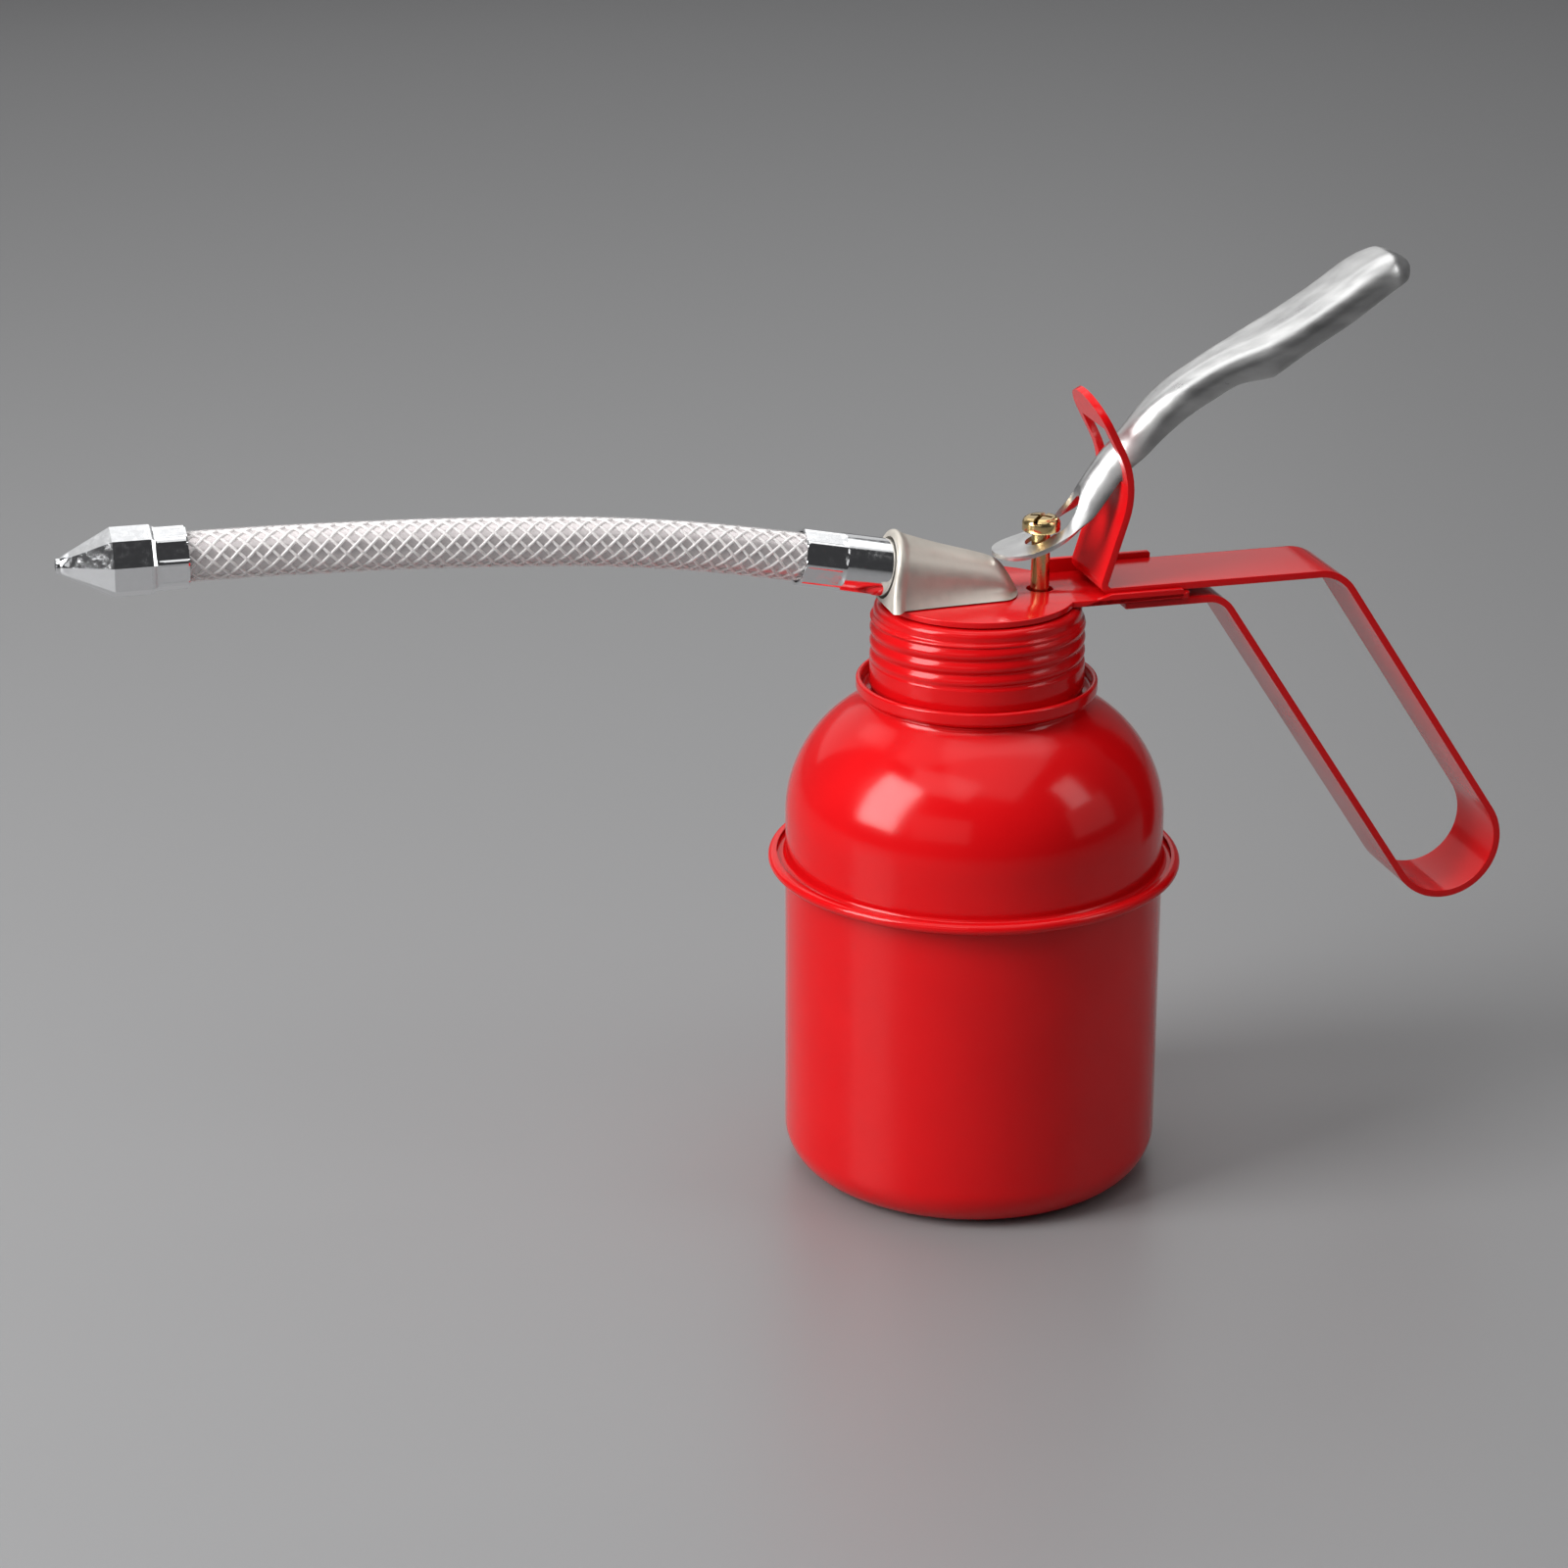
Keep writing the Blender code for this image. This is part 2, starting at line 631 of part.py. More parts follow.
def make_top_plate():
    half = STRAP_W / 2 + GAP + PLATE_T
    meet = math.degrees(math.asin(half / PLATE_R))
    corner = TONGUE_REACH - TONGUE_CORNER
    points = arc(0, 0, PLATE_R, meet, 360 - meet, 30)
    points += arc(corner, -half + TONGUE_CORNER, TONGUE_CORNER, -90, 0, 3)
    points += arc(corner, half - TONGUE_CORNER, TONGUE_CORNER, 0, 90, 3)
    plate = outline("top_plate", points, PLATE_T, RED, level(PLATE_Z + PLATE_T / 2))
    for side, height in ((-1, NEAR_FLANGE), (1, FAR_FLANGE)):
        top = PLATE_TOP + height
        wall = [(FLANGE_START, PLATE_Z + 0.2), (corner, PLATE_Z + 0.2), (corner, top), (FLANGE_FULL, top)]
        flange = outline("flange", wall, PLATE_T - 0.02, RED, side_view(side * (half - PLATE_T / 2)))
        boolean(plate, tool(flange), "UNION")
    cap_hole(plate, ROD_X, ROD_R + ROD_PLAY)
    cap_hole(plate, SPIGOT_X, SPIGOT_R + GAP)


def strap_path():
    """Middle line of the strap, from the post's top round the handle to the tab under the tongue."""
    slope = Vector((math.cos(LEG_SLOPE), -math.sin(LEG_SLOPE)))
    across = Vector((-math.sin(LEG_SLOPE), -math.cos(LEG_SLOPE)))
    top = Vector((HANDLE_TOP_X, STRAP_Z))
    half = LEG_SPACING / 2
    end = top + slope * ((HANDLE_DROP - half * math.cos(LEG_SLOPE)) / math.sin(LEG_SLOPE))
    centre = end + across * half
    front = centre + across * half
    tab_x = front.x - (TAB_Z - front.y) / math.tan(LEG_SLOPE)
    corners = [
        (POST_FOOT_X + POST_TOP[0], STRAP_Z + POST_TOP[1], 0),
        (POST_FOOT_X + POST_BEND[0], STRAP_Z + POST_BEND[1], POST_BEND_R),
        (POST_FOOT_X, STRAP_Z, POST_FOOT_R),
        (top.x, top.y, HANDLE_TOP_R),
        (end.x, end.y, 0),
    ]
    path = filleted(corners)
    start = math.degrees(math.atan2(end.y - centre.y, end.x - centre.x))
    path += [Vector(p) for p in arc(centre.x, centre.y, half, start, start - 180, 8)[1:]]
    path += filleted([(*path[-1], 0), (tab_x, TAB_Z, TAB_BEND_R), (TAB_END_X, TAB_Z, 0)])[1:]
    return path


def make_strap():
    path = strap_path()
    half = STRAP_W / 2
    away = (path[1] - path[0]).normalized()
    rows = []
    for reach in (0.25, 1.2, 3.0, 5.8):
        width = math.sqrt(half ** 2 - (half - reach) ** 2)
        rows.append((path[0] + away * reach, width))
    rows.append((path[0] + away * half, half))
    rows += [(point, half) for point in path[1:]]
    sheet = [[(p.x, -w, p.y), (p.x, 0, p.y), (p.x, w, p.y)] for p, w in rows]
    strap = meshed(grid("handle_strap", sheet, RED, STRAP_T, 0.0))
    low = STRAP_Z + SLOT_BOTTOM
    high = low + SLOT_HEIGHT
    inner = SLOT_HALF_W - SLOT_ROUND
    points = arc(inner, low + SLOT_ROUND, SLOT_ROUND, -90, 0, 3)
    points += arc(inner, high - SLOT_ROUND, SLOT_ROUND, 0, 90, 3)
    points += arc(-inner, high - SLOT_ROUND, SLOT_ROUND, 90, 180, 3)
    points += arc(-inner, low + SLOT_ROUND, SLOT_ROUND, 180, 270, 3)
    across = Matrix.Translation((POST_FOOT_X * MM, 0, 0)) @ Matrix.Rotation(math.pi / 2, 4, "Z")
    slot = outline("slot", points, 30, STEEL, across @ Matrix.Rotation(math.pi / 2, 4, "X"))
    boolean(strap, tool(slot), "DIFFERENCE")


def spout_place(reach):
    """A frame on the spout's axis, its Z pointing out along the spout."""
    out = Vector((-math.cos(SPOUT_TILT), 0, math.sin(SPOUT_TILT)))
    origin = Vector((SPOUT_X, 0, SPOUT_Z)) + out * reach
    return Matrix.Translation(origin * MM) @ out.to_track_quat("Z", "Y").to_matrix().to_4x4()


def spout_point(reach):
    return spout_place(reach).translation / MM


def head_ring(x, half_w, arch_r, top, lean):
    """One cross section of the casting: flared sides under a round arch."""
    rise = min(arch_r, 0.85 * (top - HEAD_Z))
    shoulder = top - rise
    flare = half_w - arch_r
    side = [(arch_r + flare * (1 - u) ** 2, HEAD_Z + u * (shoulder - HEAD_Z)) for u in (0, 0.2, 0.5)]
    crown = [(arch_r * math.cos(a), shoulder + rise * math.sin(a)) for a in (0, 0.52, 1.05, math.pi / 2)]
    half = side + crown
    whole = half + [(-y, z) for y, z in reversed(half[:-1])]
    return [(x + lean * math.tan(SPOUT_TILT) * (z - SPOUT_Z), y, z) for y, z in whole]


def make_head():
    face_top = SPOUT_Z + HEAD_ARCH_R
    length = HEAD_NOSE_X - SPOUT_X
    rings = []
    # Each station of the body: share of its length, of the rim's step and of the spout's tilt
    body = ((0.0, 1.0, 1.0), (0.06, 1.0, 1.0), (0.1, 0.0, 0.9), (0.3, 0.0, 0.5), (0.5, 0.0, 0.2))
    for along, rim, lean in body:
        x = SPOUT_X + along * length
        step = HEAD_RIM_STEP * (1 - rim)
        half_w = HEAD_BASE_HALF_W - HEAD_RIM_FLARE * (1 - rim) - HEAD_BASE_TAPER * along
        arch = HEAD_ARCH_R - step - HEAD_ARCH_TAPER * along
        rings.append(head_ring(x, half_w, arch, face_top - step - HEAD_SLOPE * along * length, lean))
    # Each station of the blunt nose: share of the length, of the nose's width and of its top
    nose = ((0.79, 1.0, 1.0), (0.83, 0.98, 0.87), (0.9, 0.9, 0.72), (0.96, 0.6, 0.42), (1.0, 0.22, 0.13))
    for along, wide, high in nose:
        half_w = HEAD_NOSE_HALF_W * wide
        top = HEAD_Z + HEAD_NOSE_TOP * high
        rings.append(head_ring(SPOUT_X + along * length, half_w, half_w * HEAD_NOSE_ARCH, top, 0.0))
    head = loft("pump_head", rings, ZINC)
    spigot_low = BLOCK_Z - GAP - NUT_T - NUT_STAND
    axis_z = SPOUT_Z - (SPIGOT_X - SPOUT_X) * math.tan(SPOUT_TILT)
    boolean(head, cylinder(SPIGOT_R, (SPIGOT_X, 0, spigot_low), (SPIGOT_X, 0, HEAD_Z + 2)), "UNION")
    recess = cylinder(FERRULE_R + FERRULE_PLAY, spout_point(2), spout_point(-RECESS_DEPTH))
    boolean(head, recess, "DIFFERENCE")
    root_end = spout_point(WASHER_T - RECESS_DEPTH - NIPPLE_ROOT)
    root = cylinder(NIPPLE_R + BARB + GAP, spout_point(0), root_end)
    boolean(head, root, "DIFFERENCE")
    bore_start = spout_point(-RECESS_DEPTH)
    boolean(head, cylinder(OIL_BORE_R, bore_start, (SPIGOT_X - 0.5, 0, axis_z + 0.1), 12), "DIFFERENCE")
    boolean(head, cylinder(OIL_BORE_R, (SPIGOT_X, 0, PASSAGE_Z), (SPIGOT_X, 0, axis_z), 12), "DIFFERENCE")
    cross_z = PASSAGE_Z + PASSAGE_OFFSET
    cross = cylinder(PASSAGE_R, (SPIGOT_X + PASSAGE_OFFSET, 0, cross_z), (SPIGOT_X + 9, 0, cross_z), 10)
    boolean(head, cross, "DIFFERENCE")


def make_spout():
    inner = HOSE_R + GAP
    start = -RECESS_DEPTH + GAP
    washer = [(WASHER_R, start + WASHER_T), (WASHER_R, start)]
    washer += [(NIPPLE_R + BARB + GAP, start), (NIPPLE_R + BARB + GAP, start + WASHER_T)]
    turned("nipple_washer", washer, BRASS, SMALL_TURN_STEPS, spout_place(0))
    low = start + WASHER_T + GAP
    high = low + FERRULE_LENGTH
    crimp = high - CRIMP_LENGTH
    ferrule = [(inner, high), (FERRULE_R - FERRULE_LIP, high), (FERRULE_R, high - FERRULE_LIP)]
    ferrule += [(FERRULE_R, crimp), (FERRULE_R, crimp - FERRULE_PLAY), (FERRULE_R, low)]
    ferrule.append((NIPPLE_R + BARB + GAP, low))
    ferrule += [(NIPPLE_R + BARB + GAP, low + FERRULE_END_WALL), (inner, low + FERRULE_END_WALL)]
    ring = turned("rear_ferrule", ferrule, CHROME, 24, spout_place(0))
    corner = CRIMP_ACROSS / 2 / math.cos(math.pi / 8)
    ring = press_flats(ring, lambda z, r: corner, 8, crimp - 0.1, high - 0.1, inner + 0.2)
    smooth(ring, 30)
    nipple = [(NIPPLE_BORE_R, NIPPLE_REACH), (NIPPLE_R, NIPPLE_REACH)]
    for i in range(BARBS):
        z = NIPPLE_REACH - BARB - i * BARB_PITCH
        nipple += [(NIPPLE_R + BARB, z - 0.7 * BARB_PITCH), (NIPPLE_R, z - 0.8 * BARB_PITCH)]
    nipple += [(NIPPLE_R, -NIPPLE_ROOT), (NIPPLE_BORE_R, -NIPPLE_ROOT)]
    turned("spout_nipple", nipple, BRASS, 16, spout_place(0))
    make_hose(low + FERRULE_END_WALL + GAP, high)


def make_hose(start, ferrule_end):
    nozzle_end = NOZZLE_X - NOZZLE_SOCKET + GAP
    route = [spout_point(start), spout_point(start + 9), spout_point(ferrule_end)]
    route += [Vector((x, 0, SPOUT_Z + z)) for x, z in HOSE_ROUTE]
    route += [Vector((x, 0, NOZZLE_Z)) for x in (NOZZLE_X + 1, NOZZLE_X - 6, nozzle_end)]
    line = bpy.data.curves.new("spout_hose", "CURVE")
    line.dimensions = "3D"
    line.bevel_depth = HOSE_R * MM
    line.bevel_resolution = 4
    line.resolution_u = 2
    spline = line.splines.new("BEZIER")
    spline.bezier_points.add(len(route) - 1)
    for point, place in zip(spline.bezier_points, route):
        point.co = place * MM
        point.handle_left_type = "AUTO"
        point.handle_right_type = "AUTO"
    hose = add("spout_hose", line, VINYL)
    wall = hose.modifiers.new("Wall", "SOLIDIFY")
    wall.thickness = HOSE_WALL * MM
    wall.offset = -1.0
    wall.use_even_offset = True


def make_nozzle():
    tip = NOZZLE_BODY + NOZZLE_CONE
    inner = HOSE_R + GAP
    rim = FERRULE_LIP
    profile = [(NOZZLE_BORE_R, tip), (NOZZLE_TIP_R - rim, tip), (NOZZLE_TIP_R, tip - rim)]
    profile += [(NOZZLE_CORNER_R, NOZZLE_BODY), (NOZZLE_CORNER_R, NOZZLE_BODY * 0.97)]
    profile += [(NOZZLE_MOUTH_R, NOZZLE_BODY * 0.45), (NOZZLE_MOUTH_R, rim), (NOZZLE_MOUTH_R - rim, 0)]
    profile.append((inner, 0))
    profile += [(inner, NOZZLE_SOCKET), (NIPPLE_R + BARB + GAP, NOZZLE_SOCKET)]
    seat = NOZZLE_SOCKET + TAIL_SEAT
    profile += [(NIPPLE_R + BARB + GAP, seat), (NOZZLE_BORE_R, seat + NIPPLE_R + BARB + GAP - NOZZLE_BORE_R)]
    out = Matrix.Rotation(-math.pi / 2, 4, "Y") @ Matrix.Rotation(NOZZLE_TWIST, 4, "Z")
    place = Matrix.Translation((NOZZLE_X * MM, 0, NOZZLE_Z * MM)) @ out
    nozzle = turned("nozzle", profile, CHROME, 24, place)
    nozzle = press_flats(nozzle, lambda z, r: r, 8, NOZZLE_BODY * 0.4, tip - 3, inner + 0.4)
    smooth(nozzle, 20)
    end = seat - GAP
    tail = [(NIPPLE_BORE_R, end), (NIPPLE_R + BARB, end), (NIPPLE_R + BARB, NOZZLE_SOCKET)]
    for i in range(3):
        z = NOZZLE_SOCKET - BARB_PITCH * (i + 0.5)
        tail += [(NIPPLE_R, z), (NIPPLE_R + BARB, z - 0.3)]
    tail += [(NIPPLE_R, TAIL_START), (NIPPLE_BORE_R, TAIL_START)]
    turned("nozzle_tail", tail, BRASS, 16, place)


def make_block():
    span = ROD_X - SPIGOT_X
    lean = math.degrees(math.acos((BLOCK_HEAD_R - BARREL_R) / span))
    points = arc(SPIGOT_X, 0, BLOCK_HEAD_R, lean, 360 - lean, 12) + arc(ROD_X, 0, BARREL_R, -lean, lean, 10)
    block = outline("pump_block", points, BLOCK_HEIGHT, ZINC, level(BLOCK_Z + BLOCK_HEIGHT / 2))
    boolean(block, cylinder(PISTON_R, (ROD_X, 0, BOSS_Z), (ROD_X, 0, BLOCK_Z + 1)), "UNION")
    bore = cylinder(SPIGOT_R + GAP, (SPIGOT_X, 0, BLOCK_Z - 2), (SPIGOT_X, 0, BLOCK_TOP + 2))
    boolean(block, bore, "DIFFERENCE")
    boolean(block, cylinder(ROD_BORE_R, (ROD_X, 0, BOSS_Z - 2), (ROD_X, 0, BUSH_Z)), "DIFFERENCE")
    boolean(block, cylinder(BUSH_R + GAP, (ROD_X, 0, BUSH_Z - GAP), (ROD_X, 0, BLOCK_TOP + 2)), "DIFFERENCE")
    cross_z = PASSAGE_Z + PASSAGE_OFFSET
    cross = cylinder(PASSAGE_R, (SPIGOT_X + 1, 0, cross_z), (ROD_X, 0, cross_z), 10)
    boolean(block, cross, "DIFFERENCE")
    bush = [(BUSH_R, BUSH_TOP), (BUSH_R, BUSH_Z), (ROD_R + GAP, BUSH_Z), (ROD_R + GAP, BUSH_TOP)]
    turned("rod_bush", bush, BRASS, SMALL_TURN_STEPS, rod_place())
    nut_top = BLOCK_Z - GAP
    hexagon = arc(SPIGOT_X, 0, NUT_CORNER_R, 0, 300, 5)
    nut = outline("head_nut", hexagon, NUT_T, STEEL, level(nut_top - NUT_T / 2))
    bore = cylinder(SPIGOT_R + GAP, (SPIGOT_X, 0, nut_top - NUT_T - 2), (SPIGOT_X, 0, nut_top + 2))
    boolean(nut, bore, "DIFFERENCE")


def rod_place():
    return Matrix.Translation((ROD_X * MM, 0, 0))


def seat_height(seat_z, seat_r, radius):
    """Centre of a ball a clearance above a 45 degree seat whose bore edge is at the given place."""
    return seat_z - seat_r + math.sqrt(2) * (radius + GAP)


def make_barrel():
    barrel = [(BARREL_BORE_R, BARREL_TOP), (BARREL_R, BARREL_TOP)]
    barrel += [(BARREL_R, BARREL_Z), (BARREL_BORE_R, BARREL_Z)]
    turned("pump_barrel", barrel, BRASS, SMALL_TURN_STEPS, rod_place())
    seat_z = FOOT_Z + SUCTION_SOCKET + 0.5
    ball_z = seat_height(seat_z, FOOT_BORE_R, INLET_BALL_R)
    chamber_top = FOOT_TOP - FOOT_CAGE_T
    foot = [(FOOT_CAGE_R, FOOT_TOP), (PISTON_R, FOOT_TOP), (PISTON_R, FOOT_SHOULDER)]
    foot += [(BARREL_R, FOOT_SHOULDER), (BARREL_R, FOOT_Z), (SUCTION_R + GAP, FOOT_Z)]
    foot.append((SUCTION_R + GAP, FOOT_Z + SUCTION_SOCKET))
    foot += [(FOOT_BORE_R, FOOT_Z + SUCTION_SOCKET), (FOOT_BORE_R, seat_z)]
    foot += [(FOOT_CHAMBER_R, seat_z + FOOT_CHAMBER_R - FOOT_BORE_R), (FOOT_CHAMBER_R, chamber_top)]
    foot += [(FOOT_CAGE_R, chamber_top)]
    turned("foot_valve", foot, BRASS, SMALL_TURN_STEPS, rod_place())
    ball("inlet_ball", INLET_BALL_R, ROD_X, ball_z, STEEL)
    top = FOOT_Z + SUCTION_SOCKET - GAP
    tube = [(SUCTION_BORE_R, top), (SUCTION_R, top)]
    tube += [(SUCTION_R, SUCTION_STAND), (SUCTION_BORE_R, SUCTION_STAND)]
    turned("suction_tube", tube, STEEL, 12, rod_place())


def make_piston():
    socket = PISTON_TOP - ROD_SOCKET
    shoulder = PISTON_Z + PISTON_SKIRT
    piston = [(0, socket), (ROD_R + GAP, socket), (ROD_R + GAP, PISTON_TOP), (PISTON_STEM_R, PISTON_TOP)]
    piston += [(PISTON_STEM_R, shoulder), (PISTON_R, shoulder), (PISTON_R, PISTON_Z), (CUP_BORE_R, PISTON_Z)]
    piston += [(CUP_BORE_R, shoulder), (OIL_BORE_R, shoulder), (OIL_BORE_R, socket - 1.1), (0, socket - 1.1)]
    body = turned("piston", piston, BRASS, SMALL_TURN_STEPS, rod_place())
    port_z = (shoulder + socket - 1.1) / 2
    boolean(body, cylinder(PORT_R, (ROD_X, -9, port_z), (ROD_X, 9, port_z), 10), "DIFFERENCE")
    cup = [(PISTON_R, CUP_Z + CUP_T), (PISTON_R, CUP_Z), (CUP_BORE_R, CUP_Z), (CUP_BORE_R, CUP_Z + CUP_T)]
    turned("piston_cup", cup, RUBBER, SMALL_TURN_STEPS, rod_place())
    neck_r = CUP_BORE_R - GAP
    flange = PISTON_NUT_Z + PISTON_NUT_T
    top = flange + PISTON_SPIGOT
    seat_r = neck_r - 0.4
    seat_z = top - (seat_r - SEAT_BORE_R)
    nut = [(seat_r, top), (neck_r, top), (neck_r, flange), (PISTON_R, flange), (PISTON_R, PISTON_NUT_Z)]
    nut += [(SEAT_BORE_R, PISTON_NUT_Z), (SEAT_BORE_R, seat_z)]
    turned("piston_nut", nut, BRASS, SMALL_TURN_STEPS, rod_place())
    ball("delivery_ball", DELIVERY_BALL_R, ROD_X, seat_height(seat_z, SEAT_BORE_R, DELIVERY_BALL_R), STEEL)


def make_rod():
    top = SCREW_HEAD_Z + SCREW_HEAD_T
    flat_r = SCREW_HEAD_R - SCREW_ROUND
    rod = [(0, top), (flat_r, top)]
    rod += arc(flat_r, top - SCREW_ROUND, SCREW_ROUND, 60, 0, 3)
    rod += [(SCREW_HEAD_R, SCREW_HEAD_Z + 0.15), (SCREW_HEAD_R - 0.15, SCREW_HEAD_Z), (ROD_R, SCREW_HEAD_Z)]
    rod += [(ROD_R, PISTON_TOP - ROD_SOCKET + GAP), (0, PISTON_TOP - ROD_SOCKET + GAP)]
    screw = turned("rod_screw", rod, BRASS, SMALL_TURN_STEPS, rod_place())
    half = SCREW_SLOT_W / 2
    floor = top - SCREW_SLOT_DEPTH
    cut = [(-half, floor), (half, floor), (half, top + 1), (-half, top + 1)]
    upright = Matrix.Rotation(math.pi / 2, 4, "X")
    for turn, reach in ((0.0, SCREW_HEAD_R + 1), (math.pi / 2, SCREW_CROSS_REACH)):
        around = Matrix.Rotation(SCREW_SLOT_TURN + math.pi / 2 + turn, 4, "Z")
        slot = outline("slot", cut, 2 * reach, STEEL, rod_place() @ around @ upright)
        boolean(screw, tool(slot), "DIFFERENCE")


def make_spring():
    low = PISTON_TOP + GAP + SPRING_WIRE_R
    high = BOSS_Z - GAP - SPRING_WIRE_R
    line = bpy.data.curves.new("return_spring", "CURVE")
    line.dimensions = "3D"
    line.bevel_depth = SPRING_WIRE_R * MM
    line.bevel_resolution = 1
    line.use_fill_caps = True
    spline = line.splines.new("POLY")
    count = SPRING_TURNS * 10
    spline.points.add(count)
    for i, point in enumerate(spline.points):
        angle = 2 * math.pi * i / 10
        x, y = ROD_X + SPRING_R * math.cos(angle), SPRING_R * math.sin(angle)
        point.co = (x * MM, y * MM, (low + (high - low) * i / count) * MM, 1)
    meshed(add("return_spring", line, STEEL))


def lever_section(crest, foot, growth):
    """One row of the lever's folded sheet, from the near foot over the crest to the far foot."""
    half = LEVER_NECK_HALF_W + (LEVER_PADDLE_HALF_W - LEVER_NECK_HALF_W) * growth
    crest, foot = Vector(crest), Vector(foot)
    depth = (crest - foot).length
    corner = min(LEVER_ROUND, depth * 0.7)
    side = [(half, 0.0), (half, (depth - corner) / 2)]
    side += arc(half - corner, depth - corner, corner, 0, 90, 3)
    row = [(-y, t) for y, t in side] + [(y, t) for y, t in reversed(side)]
    up = (crest - foot) / depth
    return [(PIVOT_X + foot.x + up.x * t, y, PIVOT_Z + foot.y + up.y * t) for y, t in row]


def make_lever():
    rows = [lever_section(*station) for station in LEVER_STATIONS]
    trough = meshed(grid("lever", rows, STEEL, LEVER_T, -1.0))
    tip = TONGUE_HALF_W
    start = Vector(TONGUE_LINE[0])
    away = (Vector(TONGUE_LINE[1]) - start).normalized()
    line = []
    for reach in (0.15, 1.0, 2.6, 4.6):
        width = math.sqrt(tip ** 2 - (tip - reach) ** 2)
        line.append((start + away * reach, width))
    line += [(Vector(p), tip) for p in TONGUE_LINE[2:]]
    line[-1] = (line[-1][0], LEVER_NECK_HALF_W - 0.3)
    sheet = [[(PIVOT_X + p.x, -w, PIVOT_Z + p.y), (PIVOT_X + p.x, w, PIVOT_Z + p.y)] for p, w in line]
    tongue = tool(meshed(grid("tongue", sheet, STEEL, LEVER_T, -1.0)))
    boolean(trough, tongue, "UNION")
    ends = [PIVOT_X + x for x in TONGUE_SLOT_ENDS]
    half = TONGUE_SLOT_HALF_W
    points = arc(ends[0], 0, half, 90, 270, 6) + arc(ends[1], 0, half, -90, 90, 6)
    slot = outline("slot", points, 16, STEEL, level(PIVOT_Z + TONGUE_LINE[3][1]))
    boolean(trough, tool(slot), "DIFFERENCE")


make_cup()
make_dome()
make_neck()
make_cap()
make_liner_and_seal()
make_top_plate()
make_strap()
make_head()
make_spout()
make_nozzle()
make_block()
make_barrel()
make_piston()
make_rod()
make_spring()
make_lever()
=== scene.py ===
import json
import math

import bmesh
import bpy
from mathutils import Matrix, Vector


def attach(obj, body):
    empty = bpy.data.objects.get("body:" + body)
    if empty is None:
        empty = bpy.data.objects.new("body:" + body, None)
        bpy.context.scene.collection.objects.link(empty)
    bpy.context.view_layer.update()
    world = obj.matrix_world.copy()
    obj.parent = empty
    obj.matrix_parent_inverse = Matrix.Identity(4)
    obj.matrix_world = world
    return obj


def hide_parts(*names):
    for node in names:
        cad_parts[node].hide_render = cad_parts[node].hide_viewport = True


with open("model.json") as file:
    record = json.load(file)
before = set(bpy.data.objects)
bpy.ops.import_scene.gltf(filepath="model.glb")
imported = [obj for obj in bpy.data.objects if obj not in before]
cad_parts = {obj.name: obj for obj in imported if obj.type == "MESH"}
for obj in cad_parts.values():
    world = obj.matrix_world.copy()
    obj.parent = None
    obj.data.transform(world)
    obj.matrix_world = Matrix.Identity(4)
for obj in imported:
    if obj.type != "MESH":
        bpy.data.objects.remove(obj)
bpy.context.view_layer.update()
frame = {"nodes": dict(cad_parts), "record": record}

# The object's sizes are in millimetres and MM turns them into metres; lamps and camera are in metres.
# GAP is left between pieces that touch in life.
MM = 0.001
GAP = 0.3

# Reservoir
CAN_R = 40.0
SHEET = 0.6
CUP_HEIGHT = 68.7
CUP_CORNER = 8.8
BELT_REACH = 3.7
HEM_R = SHEET * 1.5 + GAP
DOME_FLANGE_TOP = CUP_HEIGHT + 2 * SHEET + GAP
DOME_SPRING_Z = DOME_FLANGE_TOP + 9.66
DOME_RISE = 27.77
DOME_SPREAD = 29.42
DOME_END = math.radians(56.0)
WALL_FILLET = 1.0
HEM_LENGTH = 1.8
COLLAR_R = 23.6
COLLAR_ROUND = 0.6
COLLAR_TOP = DOME_SPRING_Z + DOME_RISE * math.sin(DOME_END) + 3.72

# Neck, ring, thread and cap
NECK_R = 21.05
NECK_Z = COLLAR_TOP + GAP
NECK_TOP = NECK_Z + 15.9
RING_R = 25.3
RING_THICKNESS = 1.2
RING_HEIGHT = 3.2
RING_ROUND = 1.1
NECK_LIP = 1.3
NECK_PLAIN = 6.0
NECK_SPIGOT = 1.9
THREAD_END = 0.8
THREAD_DEPTH = 0.45
THREAD_PITCH = 2.87
THREAD_START = math.radians(229.8)
CAP_TOP = NECK_TOP + 3.6
CAP_R = NECK_R + 1.45
CAP_SKIRT = 17.8
CAP_BAND_IN = 0.8
CAP_BAND_HEIGHT = 2.1
CAP_ROUND = 1.5
CAP_PLAIN = 1.3
PLATE_T = 1.3
PLATE_Z = CAP_TOP + GAP
PLATE_TOP = PLATE_Z + PLATE_T
PLATE_R = 20.3
TONGUE_REACH = 43.0
TONGUE_CORNER = 1.5
NEAR_FLANGE = 0.9
FAR_FLANGE = 3.0

# Strap
STRAP_W = 19.0
STRAP_T = 1.45
STRAP_Z = PLATE_TOP + GAP + STRAP_T / 2
TAB_Z = PLATE_Z - GAP - STRAP_T / 2
LEG_SLOPE = math.radians(56.5)
LEG_SPACING = 23.9
HANDLE_TOP_X = 77.25
HANDLE_DROP = 63.6
# Corners of the strap's middle line: X, height above the tongue, radius of the bend
POST_TOP = (21.6, 40.97, 0)
POST_BEND = (31.0, 22.5, 19.0)
POST_FOOT = (23.9, 0.0, 1.5)
HANDLE_TOP_R = 8.8
TAB_BEND_R = 6.0
TAB_END_X = 29.2
POST_ROUND = 7.2
STRAP_EDGE = 0.42
SLOT_HALF_W = 6.8
SLOT_LOW = STRAP_Z + 22.37
SLOT_HIGH = SLOT_LOW + 12.1

